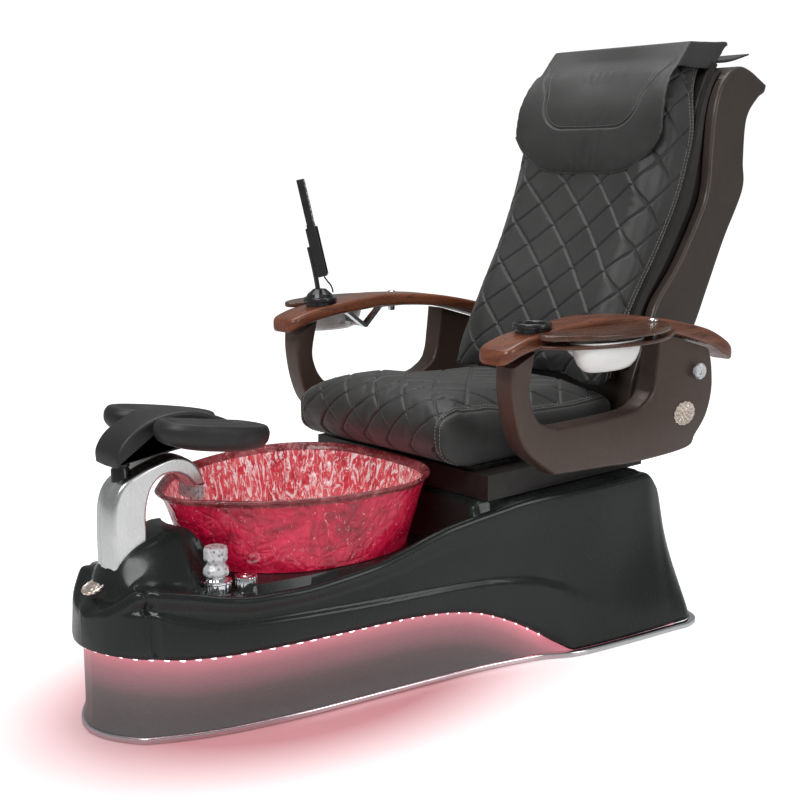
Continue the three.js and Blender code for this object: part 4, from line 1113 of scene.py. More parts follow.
# ---------- footrest ----------
POST_AT = (0, -700, 0)
STEM = [(0, 471), (18, 471), (18, 507), (16, 510), (16, 512), (18, 514), (0, 514)]
KNUCKLE = [(0, 514.6), (18, 514.6), (18, 518), (15, 520), (14, 522), (17, 525), (20.5, 531), (21, 537),
           (19, 544), (14, 549), (0, 551)]
piece(turned("footrest_stem", STEM, POST_AT), "base", BLACK, "footrest_post")
piece(turned("footrest_knuckle", KNUCKLE, POST_AT), "footrest_swivel", BLACK, "footrest_swivel")
FOOT_AT, FOOT_LEAN = (94, -552, 574), math.radians(-9)
SADDLE_TOP = [(-728, 520), (-727, 548), (-700, 580), (-640, 606), (-570, 609), (-500, 588), (-440, 560)]
SADDLE_UNDER = [(-436, 548), (-500, 566), (-570, 577), (-630, 574), (-664, 557), (-700, 528)]


def saddle():
    """A strap that sweeps up from a low front tip; its middle is crowned a little."""
    outline = spaced(np.vstack([curve(SADDLE_TOP, 70), curve(SADDLE_UNDER, 50)]), 6, True)
    stations = rounded_stations(-46, 46, 7, 4)
    rings = sideways(outline, stations[:5] + [(-25, -1.2), (0, -2), (25, -1.2)] + stations[5:])
    narrow = 1 - 0.18 * smoothstep(rings[..., 1], -500, -440)
    rings[..., 0] *= narrow
    return loft("footrest_strap", rings, sharp=60)


def foot_pad():
    """A dished oval pad with a raised lip, flat where it meets the strap, its front end higher."""
    around = np.linspace(0, 2 * math.pi, 96, endpoint=False)
    x = np.maximum(68 * np.sign(np.cos(around)) * np.abs(np.cos(around)) ** 0.9, -47)
    y = 122 * np.sign(np.sin(around)) * np.abs(np.sin(around)) ** 0.9
    profile = [(0, 7), (0.3, 7.6), (0.55, 10), (0.7, 13.5), (0.8, 17), (0.87, 19), (0.93, 18), (0.97, 13),
               (1.0, 5), (1.0, -3), (0.97, -14), (0.88, -24), (0.7, -30), (0.45, -34), (0, -36)]
    rings = []
    for share, height in curve(profile, 56):
        share = min(max(share, 0.001), 1)
        rings.append(np.column_stack([x * share, y * share, np.full(len(x), height)]))
    return moved(loft("foot_pad_left", rings, sharp=70), Matrix.Rotation(FOOT_LEAN, 4, "X"), FOOT_AT)


piece(saddle(), "foot_pads", FOAM_SKIN, "footrest_saddle")
both_sides(foot_pad, "foot_pad", "foot_pads", FOAM_SKIN, "footrest_pad")

# ---------- seat box ----------
dressed("seat_box", DARK_BOX, 2.5)
dressed("massage_carriage", BLACK, 2)
dressed("massage_rollers", FOAM_SKIN, 1.5)
dressed("back_board", DARK_LINER, 1.5)


# ---------- soft pads ----------
def pad_mesh(name, rings):
    """A closed pad through rings that run up the face and back down the rear, with a strip over each end."""
    rings = np.array(rings)
    rows, count = rings.shape[:2]
    faces = grid(rows, count).tolist()
    for first, flip in ((0, 1), ((rows - 1) * count, -1)):
        for j in range(count // 2 - 1):
            strip = [first + j, first + j + 1, first + count - 2 - j, first + count - 1 - j]
            faces.append(strip[::flip])
    return mesh_object(name, rings.reshape(-1, 3), faces)


def set_points(obj, points):
    obj.data.vertices.foreach_set("co", metres(points).ravel())
    obj.data.update()


def puffed(obj, cap, kept, voxel=5.0):
    """Inflates a closed pad with cloth. kept(points) is the share of the swelling that each point keeps."""
    remesh = obj.modifiers.new("even", "REMESH")
    remesh.mode, remesh.voxel_size, remesh.use_smooth_shade = "VOXEL", voxel / 1000, True
    apply_modifiers(obj)
    start, _ = scattered(obj)
    cloth = obj.modifiers.new("swell", "CLOTH")
    cloth.settings.quality = 3
    cloth.settings.mass = 0.25
    cloth.settings.tension_stiffness = cloth.settings.compression_stiffness = 12
    cloth.settings.bending_stiffness = 0.6
    cloth.settings.use_pressure = True
    cloth.settings.uniform_pressure_force = 4.0
    cloth.settings.effector_weights.gravity = 0
    cloth.collision_settings.use_collision = False
    scene = bpy.context.scene
    for number in range(1, 21):
        scene.frame_set(number)
    apply_modifiers(obj)
    scene.frame_set(1)
    after, _ = scattered(obj)
    move = after - start
    length = np.linalg.norm(move, axis=1)[:, None] + 1e-9
    start = start + move / length * np.minimum(length, cap) * kept(start)[:, None]
    set_points(obj, start)
    relax = obj.modifiers.new("relax", "SMOOTH")
    relax.factor, relax.iterations = 0.5, 6
    finer = obj.modifiers.new("finer", "SUBSURF")
    finer.levels = finer.render_levels = 1
    apply_modifiers(obj)
    obj.data.shade_smooth()
    return obj


def groove(value, pitch, width):
    """How deep a point lies in the nearest of many parallel channels: 1 on its line, 0 away from it."""
    off = (np.asarray(value) / pitch + 0.5) % 1 - 0.5
    return np.exp(-((off * pitch / width) ** 2))


def pressed(obj, depth):
    """Pushes points in along their normals; depth(points, normals) is in millimetres."""
    points, normals = scattered(obj)
    set_points(obj, points - normals * depth(points, normals)[:, None])
    obj.data.shade_smooth()
    return obj


def surface(obj):
    """A lookup of the nearest point and normal on a pad, in millimetres."""
    tree = BVHTree.FromObject(obj, bpy.context.evaluated_depsgraph_get())

    def nearest(point):
        spot, normal, _, _ = tree.find_nearest(Vector(metres([point])[0]))
        return millimetres(spot), np.array(normal)

    return nearest


def stitches(name, obj, lines, body, length=6.0, gap=3.0, radius=0.75, material=THREAD):
    """Rows of single stitches laid on a pad's surface along 3-D lines."""
    nearest = surface(obj)
    points, faces = [], []
    ring = circle(radius, 6)
    for line in lines:
        spots = spaced(line, length + gap)
        for a, b in zip(spots[:-1], spots[1:]):
            along = (b - a) / (np.linalg.norm(b - a) + 1e-9)
            base, normal = nearest(a)
            tip, _ = nearest(a + along * length)
            side = np.cross(along, normal)
            for share, lift in [(0, -0.5), (0.2, 0.5), (0.8, 0.5), (1, -0.5)]:
                middle = base + (tip - base) * share + normal * lift
                points += [middle + side * u + normal * v for u, v in ring]
            first = len(points) - 24
            faces += (grid(4, 6) + first).tolist()
    return piece(mesh_object(name, points, faces), body, material, slot="leather")


# ---------- seat cushion ----------
SEAT_HALF, CUSHION_LOW, CUSHION_REAR = 252.0, 446.0, 470
SEAM_AT, SEAM_PAIR = 231, (226, 236.5)
SEAT_PITCH, CROSS_PITCH, CROSS_SLANT, CROSS_FROM = 76, 96, 0.95, 130
CUSHION_FRONT = [(16, 446), (-46, 456), (-88, 488), (-101, 540), (-84, 579), (-36, 597)]
CUSHION_TOP = [(60, 590), (200, 568), (340, 561), (452, 564)]


def crown(share):
    return 1 - 0.19 * np.abs(share) ** 4


def bowed(v):
    """How far a sewn channel has moved sideways at a distance v round the cushion's front."""
    return np.where(v < 110, 62 * ((110 - v) / 110) ** 2, 0.8 * (v - 110))


def cushion_outline():
    foot = spaced([(CUSHION_REAR, CUSHION_LOW), CUSHION_FRONT[0]], 30)
    return np.vstack([curve(CUSHION_FRONT, 36), curve(CUSHION_TOP, 30), [(CUSHION_REAR, 552)], foot[:-1]])


def cushion_height(x, z):
    """A height on the cushion's outline, lowered by the crown towards its sides."""
    return CUSHION_LOW + (z - CUSHION_LOW) * float(crown(x / SEAT_HALF))


def seat_cushion():
    outline = cushion_outline()
    rings = []
    shares = [-1, -0.985, -0.95, -0.9, -0.8, -0.65, -0.5, -0.25, 0, 0.25, 0.5, 0.65, 0.8, 0.9, 0.95, 0.985, 1]
    for share in shares:
        inset = np.interp(abs(share), [0, 0.9, 0.95, 0.985, 1], [5, 5, 7, 12, 20])
        y = np.clip(outline[:, 0], inset - 101, CUSHION_REAR - inset)
        z = CUSHION_LOW + (outline[:, 1] - CUSHION_LOW) * crown(share)
        z = np.where(z > 500, z - inset, z)
        rings.append(np.column_stack([np.full(len(y), share * (SEAT_HALF - 5)), y, z]))
    pad = loft("seat_pad", rings)

    def kept(points):
        free = smoothstep(points[:, 2], CUSHION_LOW + 2, CUSHION_LOW + 40)
        rear = 1 - 0.75 * smoothstep(points[:, 1], 400, 460)
        side = 1 - 0.7 * smoothstep(np.abs(points[:, 0]), 220, 246)
        return free * rear * side

    puffed(pad, 22, kept)
    line = cushion_outline()[:67]
    arc = np.concatenate([[0], np.cumsum(np.linalg.norm(np.diff(line, axis=0), axis=1))])
    polar = lambda y, z: np.arctan2(z - 500, y + 20)

    def along(points):
        """Distance from the front's lower edge, up and over to the back."""
        on_top = points[:, 1] > -20
        turn = polar(line[:, 0], line[:, 1])[:37]
        here = polar(points[:, 1], points[:, 2])
        here = np.where(here > 0, here, here + 2 * math.pi)
        full = np.where(turn > 0, turn, turn + 2 * math.pi)
        front = np.interp(-here, -full[np.argsort(-full)], arc[:37][np.argsort(-full)])
        top = np.interp(points[:, 1], line[36:, 0], arc[36:])
        return np.where(on_top & (points[:, 2] > 510), top, front)

    def depth(points, normals):
        v = along(points)
        x = points[:, 0]
        main = groove(x + 20 - bowed(v), SEAT_PITCH, 4.2)
        cross = groove(x + CROSS_SLANT * (v - CROSS_FROM), CROSS_PITCH, 4.2) * smoothstep(v, 120, 200)
        face = smoothstep(np.maximum(-normals[:, 1], normals[:, 2]), 0.1, 0.5)
        edge = 1 - smoothstep(np.abs(x), 214, 228)
        low = smoothstep(v, 12, 40)
        seam = np.exp(-(((np.abs(x) - SEAM_AT) / 3.0) ** 2))
        seam = seam * smoothstep(points[:, 2], CUSHION_LOW + 8, CUSHION_LOW + 30)
        return (4.6 * np.maximum(main, 0.75 * cross) * edge * low + 2.8 * seam) * face

    pressed(pad, depth)
    seams = []
    for side in (-1, 1):
        for x in SEAM_PAIR:
            seams.append([(side * x, y, cushion_height(x, z) + 4) for y, z in line[6:]])
    stitches("seat_stitching", pad, seams, "seat")
    fine = np.linspace(16, arc[-1] - 10, 120)
    rows = [SEAT_PITCH * number - 20 + bowed(fine) for number in range(-7, 8)]
    slanted = [CROSS_PITCH * number - CROSS_SLANT * (fine - CROSS_FROM) for number in range(-3, 8)]
    rows += [np.where(fine > 150, row, np.nan) for row in slanted]
    quilting = []
    for x in rows:
        inside = np.abs(x) < 214
        y, z = (np.interp(fine[inside], arc, line[:, k]) for k in (0, 1))
        if np.count_nonzero(inside) > 3:
            quilting.append([(u, v, cushion_height(u, w)) for u, v, w in zip(x[inside], y, z)])
    stitches("seat_quilting", pad, quilting, "seat", 5.0, 2.2, 0.5, QUILT_THREAD)
    return piece(pad, "seat", LEATHER, "seat_cushion")


seat_cushion()

# ---------- back pad ----------
BACK_HALF, HOLLOW, CORNER_DEPTH = 245.0, 45.0, 44.0
WIDE = np.array([0.25, 0.5, 0.7, 0.78, 0.85, 0.9, 0.94, 0.97, 0.99, 1.0])
PAD_FRONT = [(380, 569), (402, 640), (463, 758), (535, 884), (590, 1010), (622, 1116), (645, 1215),
             (690, 1290), (755, 1328)]
HEM, QUILT_PITCH, QUILT_SHIFT = 24.0, 112, 12
PAD_REAR = [(836, 1326), (800, 1275), (772, 1208), (750, 1112), (705, 993), (635, 876), (546, 750),
            (500, 665), (470, 582)]
FACE_LINE = curve(PAD_FRONT, 80)


def pad_taper(z):
    return 1 - 0.16 * smoothstep(z, 1140, 1330)


def middle_set(x):
    return HOLLOW * (1 - (np.asarray(x) / BACK_HALF) ** 2)


def face_y(z):
    """The pad's face at its wings; its middle lies further back."""
    return np.interp(z, FACE_LINE[:, 1], FACE_LINE[:, 0])


def back_pad():
    rings = []
    for share in [*-WIDE[::-1], 0, *WIDE]:
        x = share * (BACK_HALF - 4)
        edge = float(np.interp(abs(share), [0, 0.88, 0.95, 0.985, 1], [4, 4, 5, 9, 16]))
        turn = CORNER_DEPTH * (1 - math.sqrt(1 - max(0.0, (abs(share) - 0.72) / 0.28) ** 2))
        front = curve(PAD_FRONT, 70) + np.array([float(middle_set(x)) + 4 + turn, 0])
        rear = curve(PAD_REAR, 70) - np.array([edge, 0])
        line = np.vstack([front, rear])
        rings.append(np.column_stack([x * pad_taper(line[:, 1]), line]))
    pad = pad_mesh("back_cushion", rings)
    rear_line = curve(PAD_REAR, 60)[::-1]

    def rear_at(z):
        return np.interp(z, rear_line[:, 1], rear_line[:, 0])

    def kept(points):
        side = 1 - 0.75 * smoothstep(np.abs(points[:, 0]), 200, 236)
        return smoothstep(rear_at(points[:, 2]) - points[:, 1], 8, 30) * side

    puffed(pad, 22, kept)
    arc = np.concatenate([[0], np.cumsum(np.linalg.norm(np.diff(FACE_LINE, axis=0), axis=1))])

    def depth(points, normals):
        x, z = points[:, 0], points[:, 2]
        v = np.interp(z, FACE_LINE[:, 1], arc)
        behind = np.maximum(points[:, 1] - face_y(z) - middle_set(np.minimum(np.abs(x), 190)), 0)
        round_x = x + 0.8 * np.sign(x) * behind * smoothstep(np.abs(x), 150, 200)
        lines = np.maximum(groove(round_x + v - QUILT_SHIFT, QUILT_PITCH, 4.6),
                           groove(round_x - v + QUILT_SHIFT, QUILT_PITCH, 4.6))
        to_rear = rear_at(z) - points[:, 1]
        field = smoothstep(to_rear, HEM + 2, HEM + 12)
        border = np.exp(-(((to_rear - HEM) / 3.2) ** 2)) * smoothstep(np.abs(x), 195, 215)
        face = np.maximum(smoothstep(-normals[:, 1], 0.1, 0.4), smoothstep(np.abs(normals[:, 0]), 0.4, 0.8))
        return (4.8 * lines * field + 3.0 * border) * face

    pressed(pad, depth)
    seams = []
    heights = FACE_LINE[3:-5, 1]
    for side in (-1, 1):
        for back in (HEM - 5, HEM + 6):
            x = side * (BACK_HALF + 4) * pad_taper(heights)
            seams.append(np.column_stack([x, rear_at(heights) - back, heights]))
    stitches("back_stitching", pad, seams, "backrest")
    quilting = []
    for slant in (-1, 1):
        for number in range(-12, 13):
            x = QUILT_PITCH * number + slant * (arc - QUILT_SHIFT)
            z = FACE_LINE[:, 1]
            field = (np.abs(x) < 205) & (z > 590)
            if np.count_nonzero(field) > 3:
                x, z = x[field], z[field]
                quilting.append(np.column_stack([x, face_y(z) + middle_set(x), z]))
    stitches("back_quilting", pad, quilting, "backrest", 5.0, 2.2, 0.5, QUILT_THREAD)
    return piece(pad, "backrest", LEATHER, "back_pad")


back_pad()

# ---------- head pillow ----------
PILLOW_HALF = 236.0
SEW_HALF, SEW_LOW, SEW_TOP, SEW_CORNER = 150, 1168, 1330, 70
PILLOW_FACE = [(1046, 7), (1062, 20), (1116, 27), (1166, 29), (1215, 29), (1265, 26), (1300, 24)]
PILLOW_FLAP = [(764, 1338, 32), (842, 1348, 25), (908, 1368, 10)]


def pillow_taper(z):
    return 1 - 0.08 * smoothstep(z, 1180, 1345)


def pillow_level(share, low, thick):
    """Rear and front points of the pillow's face at a share of its half-width."""
    z = low + 100 * share**4 * ((1330 - low) / 290)
    x = share * PILLOW_HALF
    y = float(face_y(z) + middle_set(x * pillow_taper(z) / pad_taper(z))) - 6
    thin = 1 - 0.75 * abs(share) ** 3
    return (y, z), (y - thick * thin, z + 2)


def sewn_u(offset):
    """A line of (x, z) points along the pillow's sewn U, an offset outside it: side, round foot, side."""
    reach, low, corner = SEW_HALF + offset, SEW_LOW - offset, SEW_CORNER + offset
    share = np.linspace(0, 1, 90)
    up = np.minimum(share, 1 - share)
    climb = 1 - up[up < 0.25] / 0.25
    half = list(zip(reach + 40 * climb**1.5, low + corner + (SEW_TOP - low - corner) * climb))
    span, quarter = reach - corner, math.pi / 2 * corner
    foot = []
    for s in (share[up >= 0.25] - 0.25) / 0.5 * 2 * (span + quarter) - span - quarter:
        turn = max(abs(s) - span, 0) / corner
        x = min(abs(s), span) + corner * math.sin(turn)
        foot.append((math.copysign(x, s), low + corner * (1 - math.cos(turn))))
    count = len(half) // 2
    return [(-x, z) for x, z in half[:count]] + foot + half[count:]


def head_pillow():
    rings = []
    face = curve(PILLOW_FACE, 24)
    flap = curve(PILLOW_FLAP, 10)
    shares = np.sin(np.radians(np.linspace(-90, 90, 31)))
    for share in shares:
        levels = [pillow_level(share, low, thick - 3) for low, thick in face]
        droop = smoothstep(abs(share), 0.86, 0.99) * np.interp(flap[:, 0], [764, 842, 900], [32, 40, 0])
        rear = [back for back, _ in levels] + [(y, z - low) for (y, z, _), low in zip(flap, droop)]
        front = [near for _, near in levels] + [(y - 0.35 * thick, z + thick) for y, z, thick in flap]
        outline = np.array(front + rear[::-1])
        rings.append(np.column_stack([share * PILLOW_HALF * pillow_taper(outline[:, 1]), outline]))
    pad = pad_mesh("head_cushion", rings)

    def kept(points):
        face_at = face_y(points[:, 2]) + middle_set(points[:, 0] / pad_taper(points[:, 2]))
        proud = smoothstep(face_at - points[:, 1], 4, 18)
        top = 1 - smoothstep(points[:, 2], 1290, 1330)
        side = 1 - 0.6 * smoothstep(np.abs(points[:, 0]), 150, 220)
        return 0.6 * proud * top * side

    puffed(pad, 22, kept, 4.0)

    def contour(points):
        """Signed distance to the sewn U inside the pillow's edge."""
        half = SEW_HALF + 46 * smoothstep(points[:, 2], 1225, SEW_TOP)
        rise = np.maximum(points[:, 2] - SEW_LOW, -60)
        dx, dz = np.abs(points[:, 0]) - (half - SEW_CORNER), SEW_CORNER - rise
        return np.hypot(np.maximum(dx, 0), np.maximum(dz, 0)) + np.minimum(np.maximum(dx, dz), 0) - SEW_CORNER

    def depth(points, normals):
        face = smoothstep(-normals[:, 1] + 0.4 * normals[:, 2], 0.15, 0.5)
        away = contour(points)
        valley = np.exp(-((away / 3.4) ** 2))
        swell = smoothstep(-away, 0, 60)
        return (3.6 * valley - 3.0 * swell) * face * (1 - smoothstep(points[:, 2], 1310, 1340))

    pressed(pad, depth)
    nearest = surface(pad)
    laid = []
    for share in np.linspace(-0.995, 0.995, 90):
        (y, z), _ = pillow_level(share, 1056, 14)
        spot, normal = nearest((share * PILLOW_HALF * float(pillow_taper(z)), y - 14, z - 2))
        laid.append(spot + normal * 0.6)
    smooth_line = curve(np.array(laid)[::4], 160)
    piece(tube("pillow_piping", smooth_line, 3.0, 10), "backrest", SIDE_LEATHER, slot="leather")
    inner = []
    for offset in (5, -5):
        inner.append([(x, float(face_y(z) + middle_set(x)) - 40, z) for x, z in sewn_u(offset)])
    stitches("pillow_stitching", pad, inner, "backrest", 5, 2.6, 0.6)
    return piece(pad, "backrest", LEATHER, "head_pillow")


head_pillow()


def rear_flap():
    """A loose flap behind the pillow that covers the gap between the pad and the shell."""
    upper = curve([(842, 1340), (900, 1335), (962, 1341), (1040, 1358)], 30)
    lower = curve([(1041, 1354), (962, 1334), (900, 1328), (842, 1333)], 30)
    stations = rounded_stations(-190, 190, 3, 3)
    return loft("rear_flap", sideways(np.vstack([upper, lower]), stations), sharp=60)


piece(rear_flap(), "backrest", SIDE_LEATHER, slot="leather")

# ---------- back shell ----------
SHELL_HALF = 258.0
SHELL_FRONT = [(520, 575), (578, 700), (606, 757), (680, 836), (752, 940), (788, 1012), (796, 1113),
               (804, 1200), (824, 1258), (858, 1297), (905, 1316), (950, 1309), (990, 1292), (1025, 1276)]
SHELL_REAR = [(1018, 1256), (985, 1238), (944, 1188), (938, 1089), (941, 1015), (868, 892), (805, 771),
              (760, 686), (700, 600), (628, 500)]
SHELL_FOOT = [(606, 464), (560, 446), (516, 464), (504, 510)]
SHELL_CAVITY = [(570, 530), (660, 560), (742, 690), (790, 780), (850, 898), (918, 1016), (917, 1090),
                (922, 1190), (950, 1262), (860, 1290), (760, 1290), (600, 1000), (470, 700)]


def back_shell():
    outline = np.vstack([curve(SHELL_FRONT, 90), curve(SHELL_REAR, 80), curve(SHELL_FOOT, 24)])
    shell = loft("back_cover", sideways(spaced(outline, 9, True),
                                        rounded_stations(-SHELL_HALF, SHELL_HALF, 9, 4)))
    cavity = loft("cavity", sideways(SHELL_CAVITY, [(-232, 0), (232, 0)]))
    return bevelled(carved(shell, cavity), 2.5, 2, 50)


GUSSET = [(0.0, 219), (0.2, 226), (0.42, 229), (0.47, 231), (0.5, 231.4), (0.53, 231), (0.58, 228),
          (0.8, 226), (1.0, 222)]


def back_gusset():
    """A dark gusset on each side, from the pad's rear into the shell, with a welt along its middle."""
    near = curve(PAD_REAR, 60)[::-1][6:-3]
    front = curve(SHELL_FRONT, 90)
    rising = front[:int(np.argmax(front[:, 1]))]
    near = near[near[:, 1] < rising[-1, 1] - 6]
    far = np.column_stack([np.interp(near[:, 1], rising[:, 1], rising[:, 0]) + 26, near[:, 1]])
    rows = []
    for share, x in GUSSET:
        line = near * (1 - share) + far * share
        rows.append(np.column_stack([np.full(len(line), x), line]))
    faces = grid(len(rows), len(near), wrap_cols=False)
    skin = mesh_object("back_gusset_left", np.array(rows).reshape(-1, 3), faces)
    wall = skin.modifiers.new("wall", "SOLIDIFY")
    wall.thickness, wall.offset = 0.0015, 0
    return skin


piece(back_shell(), "backrest", BROWN_SHELL, "back_shell")
both_sides(back_gusset, "back_gusset", "backrest", DARK_LINER)

# ---------- arms ----------
ARM_MIDDLE, ARM_HALF = 358.0, 27.0
WOOD_MIDDLE, WOOD_THICK = 351.5, 30.0
WOOD_LINE = curve([(-62, 706), (-48, 716), (0, 731), (61, 741), (100, 746), (176, 752), (244, 756),
                   (417, 744), (607, 706), (700, 668), (738, 646), (746, 641)], 160)
# outer and inner points of the panel, from its front top round to its rear top
PANEL_PAIRS = [((-28, 674), (38, 702)), ((-28, 632), (23, 630)), ((-17, 569), (32, 588)),
               ((5, 514), (50, 560)), ((39, 478), (64, 550)), ((96, 441), (95, 540)),
               ((118, 433), (121, 534)), ((250, 426), (245, 534)), ((389, 419), (360, 538)),
               ((565, 425), (405, 555)), ((600, 452), (425, 571)), ((640, 495), (432, 585)),
               ((659, 552), (438, 605)), ((655, 610), (441, 630)), ((642, 648), (445, 660)),
               ((630, 656), (450, 706))]


def wood_top(y):
    return np.interp(y, WOOD_LINE[:, 0], WOOD_LINE[:, 1])


def wood_under(y):
    return wood_top(y) - WOOD_THICK - 6 * smoothstep(y, 450, 620)


def arm_panel():
    pairs = curve(np.array(PANEL_PAIRS, float).reshape(-1, 4), 130)
    rings = []
    for outer_y, outer_z, inner_y, inner_z in pairs:
        outer, inner = np.array([outer_y, outer_z]), np.array([inner_y, inner_z])
        middle, reach = (outer + inner) / 2, (inner - outer) / 2
        half = np.linalg.norm(reach)
        section = rounded_section(ARM_HALF, half, 9, 4)
        line = middle + section[:, 1:] / half * reach
        line[:, 1] = np.minimum(line[:, 1], wood_under(line[:, 0]) - 1)
        rings.append(np.column_stack([ARM_MIDDLE + section[:, 0], line]))
    return loft("arm_frame_left", rings, sharp=60)


def arm_wood():
    """A bowed top board with a blunt rounded front end and a rounder rear end."""
    round_in = [(9 * (1 - math.cos(a)), 9 * (1 - math.sin(a))) for a in np.radians([0, 18, 36, 54, 72, 90])]
    stations = [(-62 + step, inset) for step, inset in round_in]
    middle = [np.arange(-50, -18, 4), np.arange(-16, 700, 12), np.arange(700, 734, 4)]
    stations += [(y, 0) for y in np.concatenate(middle)]
    stations += [(743 - step, inset) for step, inset in round_in[::-1]]
    rings = []
    for y, inset in stations:
        nose = np.clip((y + 62) / 34, 0, 1)
        heel = np.clip((743 - y) / 60, 0, 1)
        at_nose = 24 + 19.5 * (1 - (1 - nose) ** 3) ** 0.5
        at_heel = 15 + 28.5 * math.sqrt(1 - (1 - heel) ** 2)
        half = min(at_nose, at_heel) - inset
        high = wood_top(y) - inset - 4 * (1 - heel) ** 2
        low = wood_under(y) + inset + 7 * (1 - heel) ** 2
        section = rounded_section(half, (high - low) / 2, 9, 5)
        along = np.full(len(section), y)
        rings.append(np.column_stack([WOOD_MIDDLE + section[:, 0], along, (high + low) / 2 + section[:, 1]]))
    board = loft("arm_board_left", rings, sharp=60)
    well = turned("well", [(0, 680), (34.2, 680), (34.2, 800), (0, 800)], (*CUP_AT, 0), 96)
    return carved(board, well)


CUP_BASE = float(wood_top(CUP_AT[1])) - WOOD_THICK + 1


def cup_holder():
    ribs = lambda a, r, z: 1 + 0.02 * np.cos(20 * a) * (r < 33) * (z > CUP_BASE + 6) * (z < 754)
    profile = [(0, CUP_BASE), (32, CUP_BASE), (34, CUP_BASE + 2), (34, 746.6), (40, 746.6), (41, 748),
               (41, 755), (40, 757), (38, 758), (34.5, 758), (32.6, 756.6), (32, 754), (31.6, 740),
               (30.5, CUP_BASE + 7), (28, CUP_BASE + 4), (0, CUP_BASE + 4)]
    return turned("cup_liner_left", profile, (*CUP_AT, 0), 120, 45, ribs)


both_sides(arm_panel, "arm_frame", "seat", BRONZE, "arm_panel")
both_sides(arm_wood, "arm_board", "seat", CHERRY, "arm_top")
both_sides(cup_holder, "cup_liner", "seat", BLACK, "cup_holder")

# ---------- trays ----------
LEAF_INNER, LEAF_TAIL = 397.5, 30
LEAF_FRONT = [(LEAF_INNER, 66), (398, 40), (412, 16)]
LEAF_OUTER = [(430, 12), (462, 40), (496, 105), (516, 190), (514, 270), (492, 340)]
PLATE_TAIL = [(470, 378), (446, 420), (424, 446), (406, 440), (LEAF_INNER, 424)]
PIN_AT, BOWL_AT = (428.0, 361.0), np.array([455.0, 175.0])
PLATE_Z, LID_Z = (712.0, 720.0), (730.0, 742.0)


def oval(rx, ry):
    return BOWL_AT + circle(1, 96) * np.array([rx, ry])


def tray_lid():
    around = np.radians(np.linspace(40, 180, 22))
    tail = np.column_stack([PIN_AT[0] + LEAF_TAIL * np.cos(around), PIN_AT[1] + LEAF_TAIL * np.sin(around)])
    outline = spaced(np.vstack([curve(LEAF_FRONT + LEAF_OUTER, 70), tail]), 5, True)
    return loft("tray_leaf_left", slab(outline, *LID_Z, 4, 4), sharp=60)


def tray_plate():
    outer = [(x - 4, y + 3) for x, y in LEAF_OUTER]
    outline = spaced(np.vstack([curve(LEAF_FRONT + outer, 70), curve(PLATE_TAIL, 24)]), 5, True)
    plate = loft("tray_shelf_left", slab(outline, *PLATE_Z, 2.5, 3), sharp=60)
    hole = oval(43.8, 97.8)
    return carved(plate, loft("hole", [np.column_stack([hole, np.full(len(hole), z)]) for z in (700, 735)]))


def manicure_bowl():
    top = PLATE_Z[1] + 0.4
    profile = [(20, 60, -60.5), (28, 73, -56), (36, 86, -43), (41, 94, -28), (43.2, 97.2, -12),
               (43.2, 97.2, 0), (48.6, 102.6, 0), (49.4, 103.4, 1.5), (48.6, 102.6, 3), (41, 95, 3),
               (39.6, 93.6, 1.6), (39.4, 93.4, -12), (37, 89, -27), (32, 81, -40), (24, 68, -51),
               (17, 56, -56)]
    rings = [np.column_stack([oval(rx, ry), np.full(96, top + z)]) for rx, ry, z in profile]
    return loft("soaking_bowl_left", rings, sharp=70)


def tray_pin():
    profile = [(0, 698), (8.4, 698), (9, 699), (9, 711), (5, 711.6), (5, 720.4), (9, 720.8), (9, 729.2),
               (5, 729.6), (5, 742.6), (10.4, 742.6), (11, 743.4), (11, 746.4), (9.6, 748.6), (6, 750.6),
               (0, 751.6)]
    return turned("tray_pivot_left", profile, (*PIN_AT, 0), 40)


both_sides(tray_lid, "tray_leaf", "seat", WALNUT, "tray_lid", ("tray_lid_left", "tray_lid_right"))
both_sides(tray_plate, "tray_shelf", "seat", WALNUT, "tray_plate")
both_sides(manicure_bowl, "soaking_bowl", "seat", GLAZE, "manicure_bowl")
both_sides(tray_pin, "tray_pivot", "seat", CHROME, "tray_pin")
dressed("tray_strut_left tray_strut_right", CHROME, 1)


# ---------- arm knob and badge ----------
PANEL_FACE, KNOB_SPOT, BADGE_SPOT = 385.4, (585, 607), (548, 511)
BADGE_STRETCH = 39 / 28


def outward(obj, spot):
    """Turns a lathe body to face out from the left arm panel."""
    return moved(obj, Matrix.Rotation(math.radians(90), 4, "Y"), (PANEL_FACE, *spot))


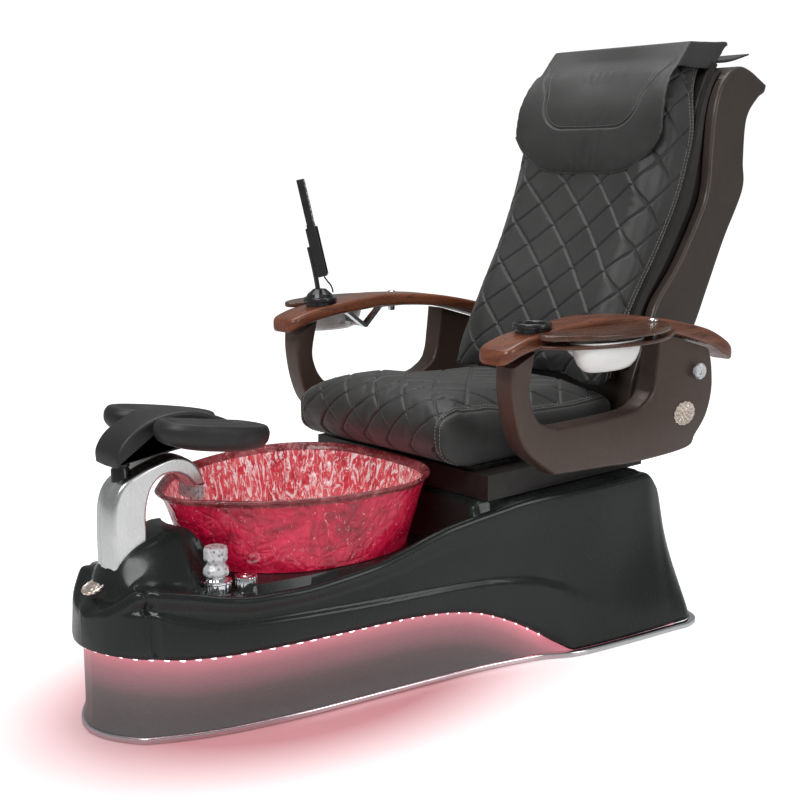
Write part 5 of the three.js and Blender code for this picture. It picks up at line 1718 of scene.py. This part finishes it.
def badge():
    """An oval plate with a generic pierced-leaf ornament."""
    rim = [(0, 0), (27.4, 0), (28, 0.8), (27.4, 2), (25, 2.4), (23.6, 1.4), (0, 1.4)]
    plate = turned("arm_ornament", rim, (0, 0, 0), 96,
                   flutes=lambda a, r, z: 1 + 0.03 * np.cos(14 * a) * (r > 24))
    leaves = []
    for radius, count, size in [(18, 10, 4.6), (10, 6, 4.2), (0, 1, 4.6)]:
        for k in range(count):
            a = 2 * math.pi * (k + 0.5 * (radius == 10)) / count
            spot = (radius * math.cos(a), radius * math.sin(a), 0)
            profile = [(0, 1.2), (size, 1.2), (size * 0.9, 2.2), (size * 0.5, 3), (0, 2.4)]
            leaves.append(turned("leaf", profile, spot, 24,
                                 flutes=lambda t, r, z, a=a: 1 + 0.3 * np.cos(2 * (t - a))))
    both = moved(joined("arm_ornament", [plate, *leaves]), Matrix.Diagonal((1, BADGE_STRETCH, 1, 1)))
    return outward(both, BADGE_SPOT)


KNOB_PROFILE = [(0, 0), (10, 0), (10, 4), (12, 6), (17, 8.6), (19, 11), (19, 16), (16, 19.6), (10, 22.6),
                (0, 23)]
dial = turned("arm_dial", KNOB_PROFILE, (0, 0, 0), 12, 12)
piece(outward(dial, KNOB_SPOT), "arm_knob", CRYSTAL, "arm_knob")
piece(badge(), "seat", GOLD, "arm_badge")

# ---------- remote control ----------
dressed("remote_holder", BLACK, 1.2)
dressed("remote", BLACK, 2.5)
dressed("remote_keypad", KEYS, 0.4)


def remote_keys():
    """Three columns of oval membrane keys and a long one at the top."""
    keys = [(column * 12.5, 138 + 13 * row, 4.6, 3.6) for row in range(6) for column in (-1, 0, 1)]
    keys.append((0, 220, 14, 4.5))
    points, faces = [], []
    for y, z, half_y, half_z in keys:
        first = len(points)
        for share, proud in [(1.0, 8.9), (0.96, 9.6), (0.8, 9.9), (0.1, 10.0)]:
            local = circle(share, 20) * np.array([half_y, half_z])
            ring = np.column_stack([np.full(20, proud), local[:, 0] + y, local[:, 1] + z])
            points += toward_sitter(ring).tolist()
        faces += (grid(4, 20) + first).tolist()
        faces.append(list(range(first + 60, first + 80)))
    return mesh_object("remote_keys", points, faces)


piece(remote_keys(), "remote", WHITE, slot="grey_panel")
